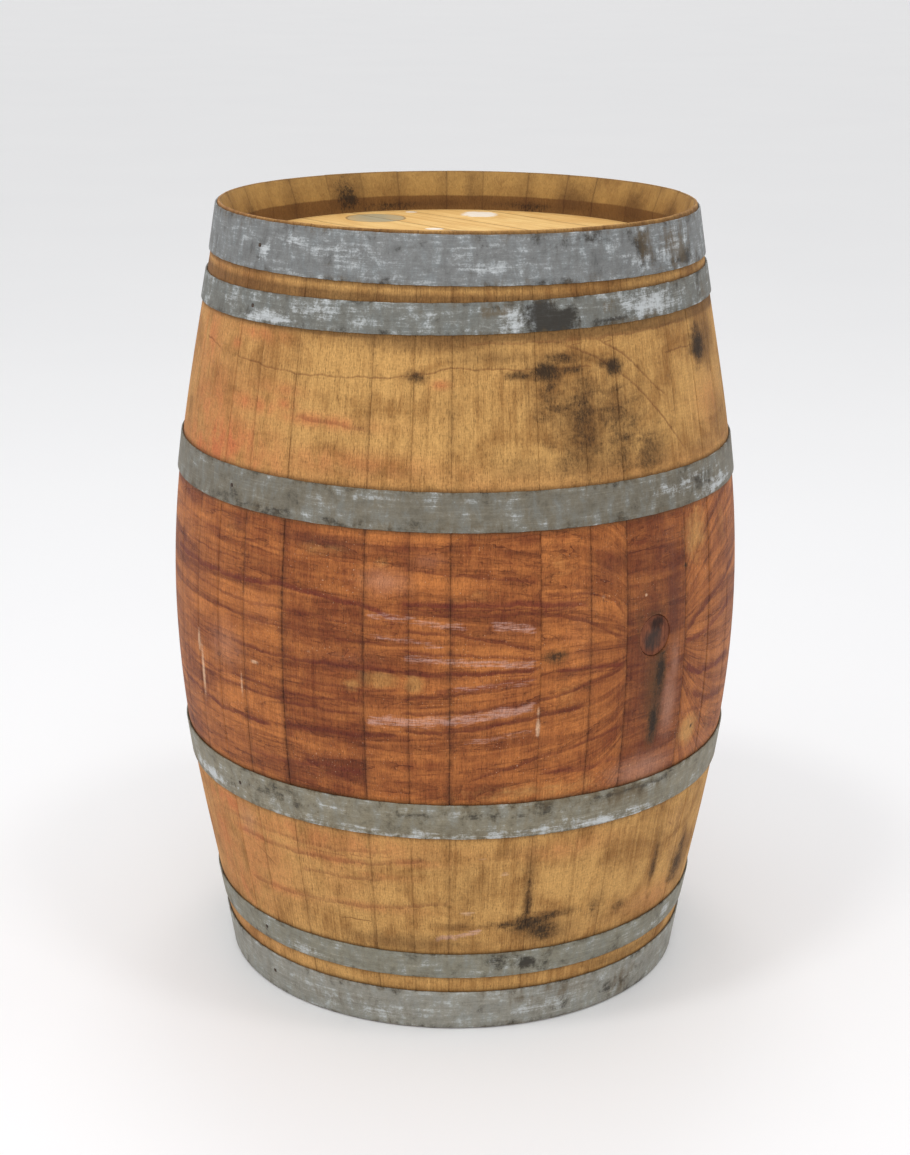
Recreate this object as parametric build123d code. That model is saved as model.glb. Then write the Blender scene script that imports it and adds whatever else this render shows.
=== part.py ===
"""Oak wine barrel of the 225 litre Bordeaux type, standing upright on one end.

Every stave, head board, hoop and fastener is a solid of its own.  The origin is
the centre of the bottom end and +Z points up.  An azimuth is 0 degrees towards
-Y and grows towards +X.  All lengths are in millimetres.
"""

import os
from itertools import compress
from math import cos, degrees, hypot, radians, sin, sqrt, tan

from build123d import *

# The shell, which is the curved wall made of staves.
LENGTH = 950.0
BILGE_RADIUS = 348.5
END_RADIUS = 285.0
STRAIGHTENING = 0.453
STAVE_THICKNESS = 27.0
SEAM_GAP = 0.1
PROFILE_POINTS = 13

# The two ends of the staves, with sizes measured from the end they belong to.
RIM_FLAT = 3.5
CHIME_DEPTH = 31.0
CHIME_FOOT_THICKNESS = 21.0
HOWEL_HOLLOW = 1.0
CROZE_TOP = 51.0
CROZE_WIDTH = 5.0
CROZE_DEPTH = 6.0

# Azimuths of the seams between staves.  The bung stave starts at BUNG_SEAM.
SEAMS = [
    -70.0, -60.2, -52.0, -44.0, -34.0, -16.9, -8.4, -0.8, 16.0, 26.0, 34.0,
    50.0, 59.0, 69.7, 82.0, 92.5, 105.5, 115.0, 127.5, 140.0, 149.0, 160.5,
    173.0, 183.0, 196.5, 207.0, 217.5, 230.0, 239.5, 250.0, 262.5, 274.0,
]
BUNG_SEAM = 34.0

# Hoops: name, bottom and top height, rise towards +X in degrees, lap azimuth.
HOOPS = [
    ("hoop_bottom_head", 1.0, 53.0, 0.0, 221.0),
    ("hoop_bottom_quarter", 73.6, 107.4, 0.0, 224.0),
    ("hoop_bottom_bilge", 267.3, 311.8, 0.0, 219.0),
    ("hoop_top_bilge", 631.4, 675.6, 0.0, 223.0),
    ("hoop_top_quarter", 841.6, 875.8, 1.1, 218.0),
    ("hoop_top_head", 892.6, 946.8, -0.2, 222.0),
]
HOOP_THICKNESS = 2.0
HOOP_CLEARANCE = 0.2
LAP_ANGLE = 20.0
LAP_OVERRUN = 2.0

# Rivets through the laps, placed by their distance from the end of the strip.
RIVET_DISTANCES = [14.0, 42.0]
RIVET_SHANK_RADIUS = 2.5
RIVET_HEAD_RADIUS = 5.0
RIVET_HEAD_HEIGHT = 2.2
RIVET_TAIL_GAP = 0.1

# Nails that keep the hoops from slipping.
NAIL_AZIMUTHS = [-48.5, 133.0]
NAIL_SHANK_RADIUS = 1.25
NAIL_HEAD_RADIUS = 2.6
NAIL_HEAD_HEIGHT = 0.9
NAIL_LENGTH = 18.0

# Clearances shared by the rivets and nails.
HOLE_CLEARANCE = 0.05
HEAD_LIFT = 0.15

# The two heads, which close the ends.
HEAD_RECESS = 47.0
HEAD_THICKNESS = 22.0
HEAD_EDGE_GAP = 0.2
OUTER_BEVEL_START = 254.0
INNER_BEVEL_START = 240.0
BEVEL_END = 265.6
HEAD_SEAMS = [-197.0, -121.0, -44.0, 35.0, 109.0, 192.0]
HEAD_SEAM_GAP = 0.1
TOP_HEAD_TURN = 41.0
BOTTOM_HEAD_TURN = 38.0
DOWEL_RADIUS = 4.0
DOWEL_LENGTH = 50.0
DOWEL_SPREAD = 0.55
DOWEL_CLEARANCE = 0.1

# The bung and its hole, in the widest stave.
BUNG_AZIMUTH = 41.0
BUNG_HEIGHT = 490.0
HOLE_OUTER_RADIUS = 24.5
HOLE_INNER_RADIUS = 22.5
BUNG_CLEARANCE = 0.35
BUNG_RECESS = 1.5
BUNG_DEPTH = 34.0
BUNG_CHAMFER = 1.0
CUTTER_MARGIN = 20.0


def shell_radius(height):
    """Outer radius of the shell at a height."""
    t = 2 * height / LENGTH - 1
    fall = (1 + STRAIGHTENING) * t**2 - STRAIGHTENING * t**4
    return BILGE_RADIUS - (BILGE_RADIUS - END_RADIUS) * fall


def shell_slope(height):
    """Growth of the outer radius for each millimetre of height."""
    t = 2 * height / LENGTH - 1
    fall_rate = 2 * (1 + STRAIGHTENING) * t - 4 * STRAIGHTENING * t**3
    return -(BILGE_RADIUS - END_RADIUS) * fall_rate * 2 / LENGTH


def compass(azimuth):
    """Plane angle about +Z of an azimuth, in degrees from +X."""
    return azimuth - 90.0


def outward(azimuth):
    """Horizontal unit vector that points out at an azimuth."""
    angle = radians(compass(azimuth))
    return Vector(cos(angle), sin(angle), 0)


def inner_radius(height):
    """Inner radius of the shell where it has its full thickness."""
    return shell_radius(height) - STAVE_THICKNESS


def spread(start, end, count):
    """Evenly spaced numbers from start to end."""
    return [start + (end - start) * i / (count - 1) for i in range(count)]


def end_profile(top):
    """Points of the inner side of a stave end, from the rim to below the croze."""
    croze_low = CROZE_TOP + CROZE_WIDTH

    def at(radius, depth):
        return (radius, LENGTH - depth if top else depth)

    groove_radius = inner_radius(CROZE_TOP) + CROZE_DEPTH
    return {
        "outer": at(END_RADIUS, 0),
        "rim": at(END_RADIUS - RIM_FLAT, 0),
        "foot": at(shell_radius(CHIME_DEPTH) - CHIME_FOOT_THICKNESS, CHIME_DEPTH),
        "lip": at(inner_radius(CROZE_TOP), CROZE_TOP),
        "groove_near": at(groove_radius, CROZE_TOP),
        "groove_far": at(groove_radius, croze_low),
        "wall": at(inner_radius(croze_low), croze_low),
    }


def howel(ends):
    """Shallow hollow between the foot of the chime bevel and the croze."""
    foot, lip = ends["foot"], ends["lip"]
    middle = ((foot[0] + lip[0]) / 2 + HOWEL_HOLLOW, (foot[1] + lip[1]) / 2)
    return ThreePointArc(foot, middle, lip)


def stave_section():
    """Section of the shell through the axis, on the XZ plane."""
    heights = spread(0, LENGTH, PROFILE_POINTS)
    croze_low = CROZE_TOP + CROZE_WIDTH
    inner_heights = spread(LENGTH - croze_low, croze_low, PROFILE_POINTS)
    low, high = end_profile(False), end_profile(True)
    with BuildSketch(Plane.XZ) as section:
        with BuildLine():
            Spline([(shell_radius(z), z) for z in heights])
            Polyline(high["outer"], high["rim"], high["foot"])
            howel(high)
            Polyline(high["lip"], high["groove_near"], high["groove_far"], high["wall"])
            Spline([(inner_radius(z), z) for z in inner_heights])
            Polyline(low["wall"], low["groove_far"], low["groove_near"], low["lip"])
            howel(low)
            Polyline(low["foot"], low["rim"], low["outer"])
        make_face()
    return section.sketch


def stave(section, start, end):
    """One stave between two seam azimuths."""
    gap_angle = degrees(SEAM_GAP / BILGE_RADIUS)
    solid = revolve(section, Axis.Z, revolution_arc=end - start - gap_angle)
    return Rot(0, 0, compass(start + gap_angle / 2)) * solid


def frustum(low_radius, high_radius, low, high):
    """Solid cone section on the barrel's axis."""
    with BuildSketch(Plane.XZ) as section:
        with BuildLine():
            Polyline((0, low), (low_radius, low), (high_radius, high), (0, high), close=True)
        make_face()
    return revolve(section.sketch, Axis.Z)


def sector(azimuth_start, azimuth_end, low, high):
    """Wedge of space between two azimuths, wider than the barrel."""
    reach = 2 * BILGE_RADIUS
    with BuildSketch(Plane.XZ) as section:
        with BuildLine():
            Polyline((0, low), (reach, low), (reach, high), (0, high), close=True)
        make_face()
    wedge = revolve(section.sketch, Axis.Z, revolution_arc=azimuth_end - azimuth_start)
    return Rot(0, 0, compass(azimuth_start)) * wedge


class Hoop:
    """Steel strip closed into a plain cone that hugs the shell."""

    def __init__(self, name, low, high, lean, lap_azimuth):
        self.name = name
        self.width = high - low
        self.middle = (low + high) / 2
        self.lean = lean
        self.lap_azimuth = lap_azimuth
        self.climb = tan(radians(lean)) * shell_radius(self.middle)
        self.bottom = low - abs(self.climb)
        self.top = high + abs(self.climb)
        base = shell_radius(self.bottom)
        self.slope = (shell_radius(self.top) - base) / (self.top - self.bottom)
        heights = spread(self.bottom, self.top, PROFILE_POINTS)
        bulge = max(shell_radius(z) - base - self.slope * (z - self.bottom) for z in heights)
        self.base = base + bulge + HOOP_CLEARANCE

    def radius(self, height):
        """Inner radius at a height."""
        return self.base + self.slope * (height - self.bottom)

    def centre_height(self, azimuth):
        """Height of the middle of the strip at an azimuth."""
        return self.middle + self.climb * sin(radians(azimuth))

    def cone(self, growth):
        """Solid cone section that is larger than the inside of the hoop."""
        low_radius, high_radius = self.radius(self.bottom), self.radius(self.top)
        return frustum(low_radius + growth, high_radius + growth, self.bottom, self.top)

    def strip(self):
        """The strip, whose outer end rises over the inner one at the lap."""
        offset = lap_offset()
        lap_start = self.lap_azimuth - LAP_ANGLE - LAP_OVERRUN
        crescent = Pos(outward(self.lap_azimuth) * offset) * self.cone(2 * HOOP_THICKNESS - offset)
        crescent &= sector(lap_start, self.lap_azimuth, self.bottom, self.top)
        strip = self.cone(HOOP_THICKNESS) + crescent - self.cone(0)
        reach = 3 * BILGE_RADIUS
        slab = Pos(0, 0, self.middle) * Rot(0, -self.lean, 0) * Box(reach, reach, self.width)
        return strip & slab

    def surface_frame(self, azimuth, height_above):
        """Frame on the centre line, at a distance above the inside, with +Z outward."""
        height = self.centre_height(azimuth)
        flare = hypot(1, self.slope)
        normal = outward(azimuth) / flare - Vector(0, 0, self.slope / flare)
        spot = outward(azimuth) * (self.radius(height) + height_above) + Vector(0, 0, height)
        return Plane(origin=spot, z_dir=normal).location

    def rivet_frames(self):
        """Frames on top of the lap, each with the thickness of metal below it."""
        for distance in RIVET_DISTANCES:
            angle = degrees(distance / self.base)
            thickness = 2 * HOOP_THICKNESS - lap_offset() * (1 - cos(radians(angle)))
            yield self.surface_frame(self.lap_azimuth - angle, thickness), thickness

    def nail_frames(self):
        """Frames on the outside of the strip."""
        for azimuth in NAIL_AZIMUTHS:
            yield self.surface_frame(azimuth, HOOP_THICKNESS)


def lap_offset():
    """Distance from the axis of the circle that the lapped end follows."""
    return HOOP_THICKNESS / (1 - cos(radians(LAP_ANGLE)))


def domed_pin(shank_radius, shank_length, head_radius, head_height):
    """Pin along Z with a domed head whose underside is HEAD_LIFT above zero."""
    shank = Pos(0, 0, (HEAD_LIFT - shank_length) / 2) * Cylinder(shank_radius, HEAD_LIFT + shank_length)
    ball_radius = (head_radius**2 + head_height**2) / (2 * head_height)
    ball = Pos(0, 0, HEAD_LIFT + head_height - ball_radius) * Sphere(ball_radius)
    head = ball & Pos(0, 0, HEAD_LIFT + head_height) * Box(ball_radius, ball_radius, 2 * head_height)
    return shank + head


def head_disc():
    """The whole top head before it is divided into boards."""
    face = LENGTH - HEAD_RECESS
    back = face - HEAD_THICKNESS
    edge_high = LENGTH - CROZE_TOP - HEAD_EDGE_GAP
    edge_low = LENGTH - CROZE_TOP - CROZE_WIDTH + HEAD_EDGE_GAP
    edge_radius = inner_radius(CROZE_TOP) + CROZE_DEPTH - HEAD_EDGE_GAP
    with BuildSketch(Plane.XZ) as section:
        with BuildLine():
            Polyline(
                (0, back),
                (INNER_BEVEL_START, back),
                (BEVEL_END, edge_low),
                (edge_radius, edge_low),
                (edge_radius, edge_high),
                (BEVEL_END, edge_high),
                (OUTER_BEVEL_START, face),
                (0, face),
                close=True,
            )
        make_face()
    return revolve(section.sketch, Axis.Z)


def head_dowels(radius, length):
    """Dowel pins across every seam of the top head."""
    height = LENGTH - HEAD_RECESS - HEAD_THICKNESS / 2
    pins = []
    for seam in HEAD_SEAMS:
        half_chord = sqrt(INNER_BEVEL_START**2 - seam**2)
        for side in (-1, 1):
            place = Pos(seam, side * half_chord * DOWEL_SPREAD, height)
            pins.append(place * Rot(0, 90, 0) * Cylinder(radius, length))
    return pins


def head_boards():
    """Boards of the top head, side by side along X before the head is turned."""
    disc = head_disc()
    holes = head_dowels(DOWEL_RADIUS + HOLE_CLEARANCE, DOWEL_LENGTH + 2 * DOWEL_CLEARANCE)
    reach = 2 * END_RADIUS
    edges = [-reach] + HEAD_SEAMS + [reach]
    boards = []
    for left, right in zip(edges, edges[1:]):
        width = right - left - HEAD_SEAM_GAP
        slab = Pos((left + right) / 2, 0, LENGTH) * Box(width, reach, LENGTH / 2)
        boards.append((disc & slab) - holes)
    return boards


def turned_head(shape, top):
    """A piece of the top head in its final place at either end."""
    if top:
        return Rot(0, 0, TOP_HEAD_TURN) * shape
    return Rot(0, 0, BOTTOM_HEAD_TURN) * Pos(0, 0, LENGTH) * Rot(180, 0, 0) * shape


def bung_frame():
    """Frame on the shell at the bung, with +Z pointing straight out."""
    normal = outward(BUNG_AZIMUTH)
    spot = normal * shell_radius(BUNG_HEIGHT) + Vector(0, 0, BUNG_HEIGHT)
    return Plane(origin=spot, z_dir=normal).location


def taper_radius(depth):
    """Radius of the tapered bung hole at a depth below the stave's surface."""
    return HOLE_OUTER_RADIUS - (HOLE_OUTER_RADIUS - HOLE_INNER_RADIUS) * depth / STAVE_THICKNESS


def tapered_plug(near, far, clearance):
    """Tapered plug that fits the bung hole from depth near to depth far."""
    with BuildSketch(Plane.XZ) as section:
        with BuildLine():
            Polyline(
                (0, -near),
                (taper_radius(near) - clearance, -near),
                (taper_radius(far) - clearance, -far),
                (0, -far),
                close=True,
            )
        make_face()
    return revolve(section.sketch, Axis.Z)


def save(name, shape):
    """Write one node."""
    export_step(shape, os.path.join("parts", name + ".step"))


def main():
    os.makedirs("parts", exist_ok=True)

    rivets, nails, nail_holes = [], [], []
    for hoop in [Hoop(*values) for values in HOOPS]:
        strip = hoop.strip()
        for frame, thickness in hoop.rivet_frames():
            shank = thickness - RIVET_TAIL_GAP
            pin = domed_pin(RIVET_SHANK_RADIUS, shank, RIVET_HEAD_RADIUS, RIVET_HEAD_HEIGHT)
            rivets.append(frame * pin)
            strip -= frame * Cylinder(RIVET_SHANK_RADIUS + HOLE_CLEARANCE, CUTTER_MARGIN)
        for frame in hoop.nail_frames():
            pin = domed_pin(NAIL_SHANK_RADIUS, NAIL_LENGTH, NAIL_HEAD_RADIUS, NAIL_HEAD_HEIGHT)
            nails.append(frame * pin)
            hole_length = 2 * (NAIL_LENGTH + HEAD_LIFT)
            nail_holes.append(frame * Cylinder(NAIL_SHANK_RADIUS + HOLE_CLEARANCE, hole_length))
            strip -= nail_holes[-1]
        save(hoop.name, strip)
    save("hoop_rivets", Compound(children=rivets))
    save("hoop_nails", Compound(children=nails))

    section = stave_section()
    plug_hole = bung_frame() * tapered_plug(-CUTTER_MARGIN, STAVE_THICKNESS + CUTTER_MARGIN, 0)
    ends = SEAMS[1:] + [SEAMS[0] + 360]
    for number, (start, end) in enumerate(zip(SEAMS, ends), 1):
        piece = stave(section, start, end)
        inside = [start < azimuth < end for azimuth in NAIL_AZIMUTHS * len(HOOPS)]
        if any(inside):
            piece -= list(compress(nail_holes, inside))
        if start == BUNG_SEAM:
            save("bung_stave", piece - plug_hole)
        else:
            save(f"stave_{number:02d}", piece)

    boards = head_boards()
    dowels = head_dowels(DOWEL_RADIUS, DOWEL_LENGTH)
    for end_name, top in (("top", True), ("bottom", False)):
        for number, board in enumerate(boards, 1):
            save(f"{end_name}_head_board_{number}", turned_head(board, top))
        save(f"{end_name}_head_dowels", Compound(children=[turned_head(pin, top) for pin in dowels]))

    bung = tapered_plug(BUNG_RECESS, BUNG_DEPTH, BUNG_CLEARANCE)
    bung = chamfer(bung.faces().sort_by(Axis.Z)[-1].edges(), BUNG_CHAMFER)
    save("bung", bung_frame() * bung)


main()
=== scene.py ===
"""Looks of an old oak wine barrel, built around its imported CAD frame.

Staves, head boards and hoops are remade with worn edges and real joints, and
painted by their place on the barrel: an azimuth in degrees, 0 towards the
camera (-Y) and growing towards +X, and a height in millimetres.  Lengths are
in millimetres until a mesh is made, which is in metres.
"""

from math import ceil, cos, degrees, pi, radians, sin, tan

import bmesh
import bpy
import numpy as np
from mathutils import Matrix, Vector


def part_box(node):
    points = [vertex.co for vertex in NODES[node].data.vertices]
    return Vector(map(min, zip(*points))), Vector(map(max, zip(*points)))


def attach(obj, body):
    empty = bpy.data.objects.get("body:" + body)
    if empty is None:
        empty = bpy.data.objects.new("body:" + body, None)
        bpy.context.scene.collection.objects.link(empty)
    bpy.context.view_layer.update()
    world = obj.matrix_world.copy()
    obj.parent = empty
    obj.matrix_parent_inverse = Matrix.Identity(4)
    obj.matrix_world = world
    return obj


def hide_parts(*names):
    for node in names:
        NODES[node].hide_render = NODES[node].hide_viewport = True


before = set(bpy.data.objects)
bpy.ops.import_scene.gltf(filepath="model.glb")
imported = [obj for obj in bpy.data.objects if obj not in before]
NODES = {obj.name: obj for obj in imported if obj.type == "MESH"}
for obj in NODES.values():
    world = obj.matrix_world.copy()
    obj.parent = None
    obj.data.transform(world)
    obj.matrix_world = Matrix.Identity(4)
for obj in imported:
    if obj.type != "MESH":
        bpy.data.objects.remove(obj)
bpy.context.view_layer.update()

MM = 0.001

# The shell made of staves.
LENGTH = 950.0
BILGE_RADIUS = 348.5
END_RADIUS = 285.0
STRAIGHTENING = 0.453
STAVE_THICKNESS = 27.0
ARC_PER_DEGREE = radians(1) * BILGE_RADIUS
TURN = 360.0

# Azimuths run up to this one at the back, and are negative past it.
LAST_AZIMUTH = 280.0

# Inner side of a stave end: distance from the end, and depth below the outside.
RIM_FLAT = 3.5
CHIME_DEPTH = 31.0
CHIME_FOOT = 21.0
HOWEL_HOLLOW = 1.0
CROZE_TOP = 51.0
CROZE_WIDTH = 5.0
CROZE_DEPTH = 6.0

# The bung hole.
BUNG_AZIMUTH = 41.0
BUNG_HEIGHT = 490.0
HOLE_OUTER_RADIUS = 24.5
HOLE_INNER_RADIUS = 22.5

# Edges of the bilge hoops, which bound the wine stained middle.
WINE_LOW = 300.0
WINE_HIGH = 645.0


# ---------------------------------------------------------------- numbers


def shell_radius(height):
    """Outer radius of the shell at a height."""
    t = 2 * np.asarray(height, float) / LENGTH - 1
    fall = (1 + STRAIGHTENING) * t**2 - STRAIGHTENING * t**4
    return BILGE_RADIUS - (BILGE_RADIUS - END_RADIUS) * fall


def ring_point(radius, azimuth, height):
    """Points in space from cylinder coordinates, as rows of x, y, z."""
    angle = np.radians(azimuth)
    return np.stack([radius * np.sin(angle), -radius * np.cos(angle), height + 0 * angle], -1)


def ramp(value, low, high):
    """Smooth rise from 0 at low to 1 at high, which also works downwards."""
    t = np.clip((np.asarray(value, float) - low) / (high - low), 0, 1)
    return t * t * (3 - 2 * t)


def wander(x, wavelength, seed):
    """Smooth random curve between about -1 and 1."""
    draw = np.random.default_rng(seed)
    total = np.zeros_like(np.asarray(x, float))
    for share, stretch in ((0.5, 1.0), (0.3, 0.47), (0.2, 0.21)):
        phase = draw.uniform(0, 2 * pi)
        total += share * np.sin(2 * pi * np.asarray(x, float) / (wavelength * stretch) + phase)
    return total


def srgb(red, green, blue):
    """Linear colour of an 8 bit sRGB one."""
    values = np.array([red, green, blue]) / 255
    linear = np.where(values <= 0.04045, values / 12.92, ((values + 0.055) / 1.055) ** 2.4)
    return (*linear.tolist(), 1.0)


def steps(start, end, size):
    """Even steps from start to end, no longer than size."""
    return np.linspace(start, end, max(1, ceil(abs(end - start) / size)) + 1)


# ---------------------------------------------------------------- colours

WOOD_SPECULAR = 0.2
OAK_PALE = srgb(198, 152, 90)
OAK_DARK = srgb(148, 104, 55)
OAK_ORANGE = srgb(190, 112, 68)
WINE_PALE = srgb(190, 117, 60)
WINE_DEEP = srgb(118, 57, 29)
WINE_PURPLE = srgb(84, 42, 34)
STREAK_BROWN = srgb(86, 38, 18)
STREAK_RED = srgb(100, 32, 30)
RESIDUE_LILAC = srgb(202, 160, 148)
HAZE_PALE = srgb(196, 146, 122)
SCUFF_PALE = srgb(226, 186, 152)
DIRT_AND_SHADE_BROWN = srgb(92, 62, 34)
MOULD_BLACK = srgb(38, 30, 22)
MOULD_BROWN = srgb(78, 54, 30)
SEAM_DARK = srgb(58, 30, 20)
INNER_PALE = srgb(172, 134, 76)
INNER_DARK = srgb(120, 84, 44)
HEAD_PALE = srgb(236, 200, 132)
HEAD_DARK = srgb(206, 156, 86)
DISC_GREY = srgb(150, 146, 124)
CHALK = srgb(238, 232, 222)
BLOOM_AND_REFLECTION_WHITE = srgb(204, 208, 210)
ZINC_BLUE = srgb(112, 122, 126)
STAIN_BLACK = srgb(40, 34, 26)
RUST_BROWN = srgb(98, 80, 52)
DOWEL_PALE = srgb(214, 176, 124)
DOWEL_DARK = srgb(176, 132, 84)
BUNG_PALE = srgb(134, 80, 54)
BUNG_DARK = srgb(88, 46, 32)
BUNG_STAIN_AND_SHADOW_BLACK = srgb(26, 16, 14)
BUNG_POOL = srgb(40, 42, 40)
RIVET_PALE = srgb(150, 150, 146)
RIVET_DARK = srgb(84, 82, 78)
NAIL_PALE = srgb(84, 64, 48)
NAIL_DARK = srgb(34, 28, 24)

# Marks on the top head, from its middle: discs as (place, radius), patches as (place, half sizes).
HEAD_DISCS = [((-104, 166), 37.5), ((0, 20), 37.5)]
CHALK_PATCHES = [((28, 208), (24, 26)), ((-28, 70), (12, 9)), ((-60, 226), (8, 6))]

# Hoops: lean in degrees, lap azimuth, tint, zinc bloom.
HOOPS = {
    "hoop_top_head": (-0.2, 222.0, srgb(125, 126, 125), 0.3),
    "hoop_top_quarter": (1.1, 218.0, srgb(116, 115, 108), 0.3),
    "hoop_top_bilge": (0.0, 223.0, srgb(118, 111, 96), 0.05),
    "hoop_bottom_bilge": (0.0, 219.0, srgb(134, 126, 106), 0.15),
    "hoop_bottom_quarter": (0.0, 224.0, srgb(134, 130, 114), 0.15),
    "hoop_bottom_head": (0.0, 221.0, srgb(148, 145, 134), 0.2),
}

# Lower and upper edge of each hoop.
HOOP_EDGES = {node: [corner.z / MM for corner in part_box(node)] for node in HOOPS}


# ---------------------------------------------------------------- meshes

# Edges that turn by more than this are hard.
SHARP_ANGLE = 38


class Skin:
    """Points, faces and point attributes of one closed piece."""

    def __init__(self):
        self.points = []
        self.places = []
        self.faces = []
        self.count = 0

    def add(self, points, places):
        """Store points of any grid shape and return their numbers in that shape."""
        shape = points.shape[:-1]
        size = int(np.prod(shape))
        self.points.append(points.reshape(size, 3))
        self.places.append(places.reshape(size, 3))
        self.count += size
        return np.arange(self.count - size, self.count).reshape(shape)

    def quads(self, grid, keep=None):
        """Faces of a grid of points."""
        corners = np.stack([grid[:-1, :-1], grid[:-1, 1:], grid[1:, 1:], grid[1:, :-1]], -1)
        kept = corners.reshape(-1, 4) if keep is None else corners[keep]
        self.faces += kept.tolist()

    def zip(self, one, other, one_at, other_at):
        """Triangles between two rows of points that are sorted by the same measure."""
        i = j = 0
        while i < len(one) - 1 or j < len(other) - 1:
            first = j == len(other) - 1 or (i < len(one) - 1 and one_at[i + 1] <= other_at[j + 1])
            if first:
                self.faces.append((one[i], one[i + 1], other[j]))
                i += 1
            else:
                self.faces.append((one[i], other[j + 1], other[j]))
                j += 1

    def build(self, name, material, attributes):
        """Mesh object in metres, smooth but for its hard edges."""
        mesh = bpy.data.meshes.new(name)
        points = np.concatenate(self.points) * MM
        mesh.from_pydata(points.tolist(), [], [tuple(int(i) for i in face) for face in self.faces])
        return finish_mesh(name, mesh, material, attributes)


def finish_mesh(name, mesh, material, attributes):
    """Object with point attributes, outward normals and smooth shading."""
    for key, values in attributes.items():
        layer = mesh.attributes.new(key, "FLOAT_VECTOR", "POINT")
        layer.data.foreach_set("vector", np.ascontiguousarray(values, np.float32).ravel())
    shape = bmesh.new()
    shape.from_mesh(mesh)
    bmesh.ops.recalc_face_normals(shape, faces=shape.faces)
    shape.to_mesh(mesh)
    shape.free()
    mesh.polygons.foreach_set("use_smooth", [True] * len(mesh.polygons))
    mesh.set_sharp_from_angle(angle=radians(SHARP_ANGLE))
    mesh.materials.append(material)
    piece = bpy.data.objects.new(name, mesh)
    bpy.context.scene.collection.objects.link(piece)
    return piece


# ---------------------------------------------------------------- stave shape


def stave_span(node):
    """First and last azimuth of a CAD stave, as one unbroken range."""
    points = np.array([v.co[:2] for v in NODES[node].data.vertices])
    middle = points.mean(0)
    centre = degrees(np.arctan2(middle[0], -middle[1])) % TURN
    azimuths = np.degrees(np.arctan2(points[:, 0], -points[:, 1]))
    azimuths = (azimuths - centre + TURN / 2) % TURN - TURN / 2
    shift = centre - TURN if centre > LAST_AZIMUTH else centre
    return azimuths.min() + shift, azimuths.max() + shift


def end_profile():
    """Inner side of a stave end as (distance from the end, depth)."""

    def inner(distance):
        return float(shell_radius(distance)) - STAVE_THICKNESS

    def depth(radius, distance):
        return float(shell_radius(distance)) - radius

    foot = (CHIME_DEPTH, CHIME_FOOT)
    lip = (CROZE_TOP, STAVE_THICKNESS)
    groove = inner(CROZE_TOP) + CROZE_DEPTH
    far = CROZE_TOP + CROZE_WIDTH
    hollow = ((foot[0] + lip[0]) / 2, (foot[1] + lip[1]) / 2 - HOWEL_HOLLOW)
    return [
        (0.0, RIM_FLAT - 0.4),
        (0.35, RIM_FLAT + 0.1),
        (2.0, RIM_FLAT + 1.6),
        foot,
        hollow,
        lip,
        (CROZE_TOP, depth(groove, CROZE_TOP)),
        (far, depth(groove, far)),
        (far, STAVE_THICKNESS),
    ]


# Square rings of grid round the bung hole: the outermost, the innermost that is kept, and their spacing.
PATCH_HALF = 35.0
PATCH_RING = 21.0
PATCH_STEP = 1.75
RING_MARGIN = 0.01
LIP_RADIUS = HOLE_OUTER_RADIUS + 1.1

# Rings of the bung hole's wall between its lip and the inside: radius, depth.
HOLE_RINGS = ((24.75, 0.5), (24.45, 1.5), (23.5, 14.0))

# Wear along the seams and at the rim: distances from the edge, and depths there.
EDGE_DISTANCES = np.array([0.0, 0.5, 1.2, 2.6])
EDGE_DEPTHS = np.array([0.6, 0.22, 0.07, 0.01])
RIM_DISTANCES = np.array([0.0, 0.4, 1.1, 2.5])
RIM_DEPTHS = np.array([1.0, 0.45, 0.15, 0.0])
END_WEAR = 20.0

# Longest cells of the grid: across the outside, along its middle and its ends, and on the inside.
COLUMN_STEP = 3.6
WINE_STEP = 2.2
PLAIN_STEP = 3.2
INNER_COLUMN_STEP = 24.0
INNER_ROW_STEP = 44.0
INNER_EDGE = 0.8
INNER_MARGIN = 2.6
BLOCK_END = CROZE_TOP + 30

# How staves differ: how far they are sunk, tilted across and short at the ends, and waves along them.
STAVE_SEED = 500
SUNK = (0.02, 0.3)
TILT = (-0.12, 0.12)
SHORT = (0, 0.35)
FULL_LENGTH_EVERY = 4
WORN_WAVE = 90
WORN_SEED = 40
SURFACE_WAVE = 310
SURFACE_SWELL = 0.08
SURFACE_SEED = 70


def steps_past_hole(start, hole, end, size):
    """Even steps, with fine ones across the bung hole."""
    return np.concatenate([
        steps(start, hole - PATCH_HALF, size)[:-1],
        steps(hole - PATCH_HALF, hole + PATCH_HALF, PATCH_STEP)[:-1],
        steps(hole + PATCH_HALF, end, size),
    ])


def stave_columns(start, end, has_hole):
    """Distances along the arc of a stave's columns, from its first seam."""
    width = (end - start) * ARC_PER_DEGREE
    first = EDGE_DISTANCES[-1]
    if has_hole:
        hole = (BUNG_AZIMUTH - start) * ARC_PER_DEGREE
        middle = steps_past_hole(first, hole, width - first, COLUMN_STEP)
    else:
        middle = steps(first, width - first, COLUMN_STEP)
    return np.concatenate([EDGE_DISTANCES[:-1], middle, width - EDGE_DISTANCES[:-1][::-1]])


def stave_rows(has_hole):
    """Heights of the rows on the outside of a stave."""
    first = RIM_DISTANCES[-1]
    if has_hole:
        wine = steps_past_hole(WINE_LOW, BUNG_HEIGHT, WINE_HIGH, WINE_STEP)
    else:
        wine = steps(WINE_LOW, WINE_HIGH, WINE_STEP)
    return np.concatenate([
        RIM_DISTANCES[:-1],
        steps(first, WINE_LOW, PLAIN_STEP)[:-1],
        wine,
        steps(WINE_HIGH, LENGTH - first, PLAIN_STEP)[1:],
        LENGTH - RIM_DISTANCES[:-1][::-1],
    ])


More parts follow.
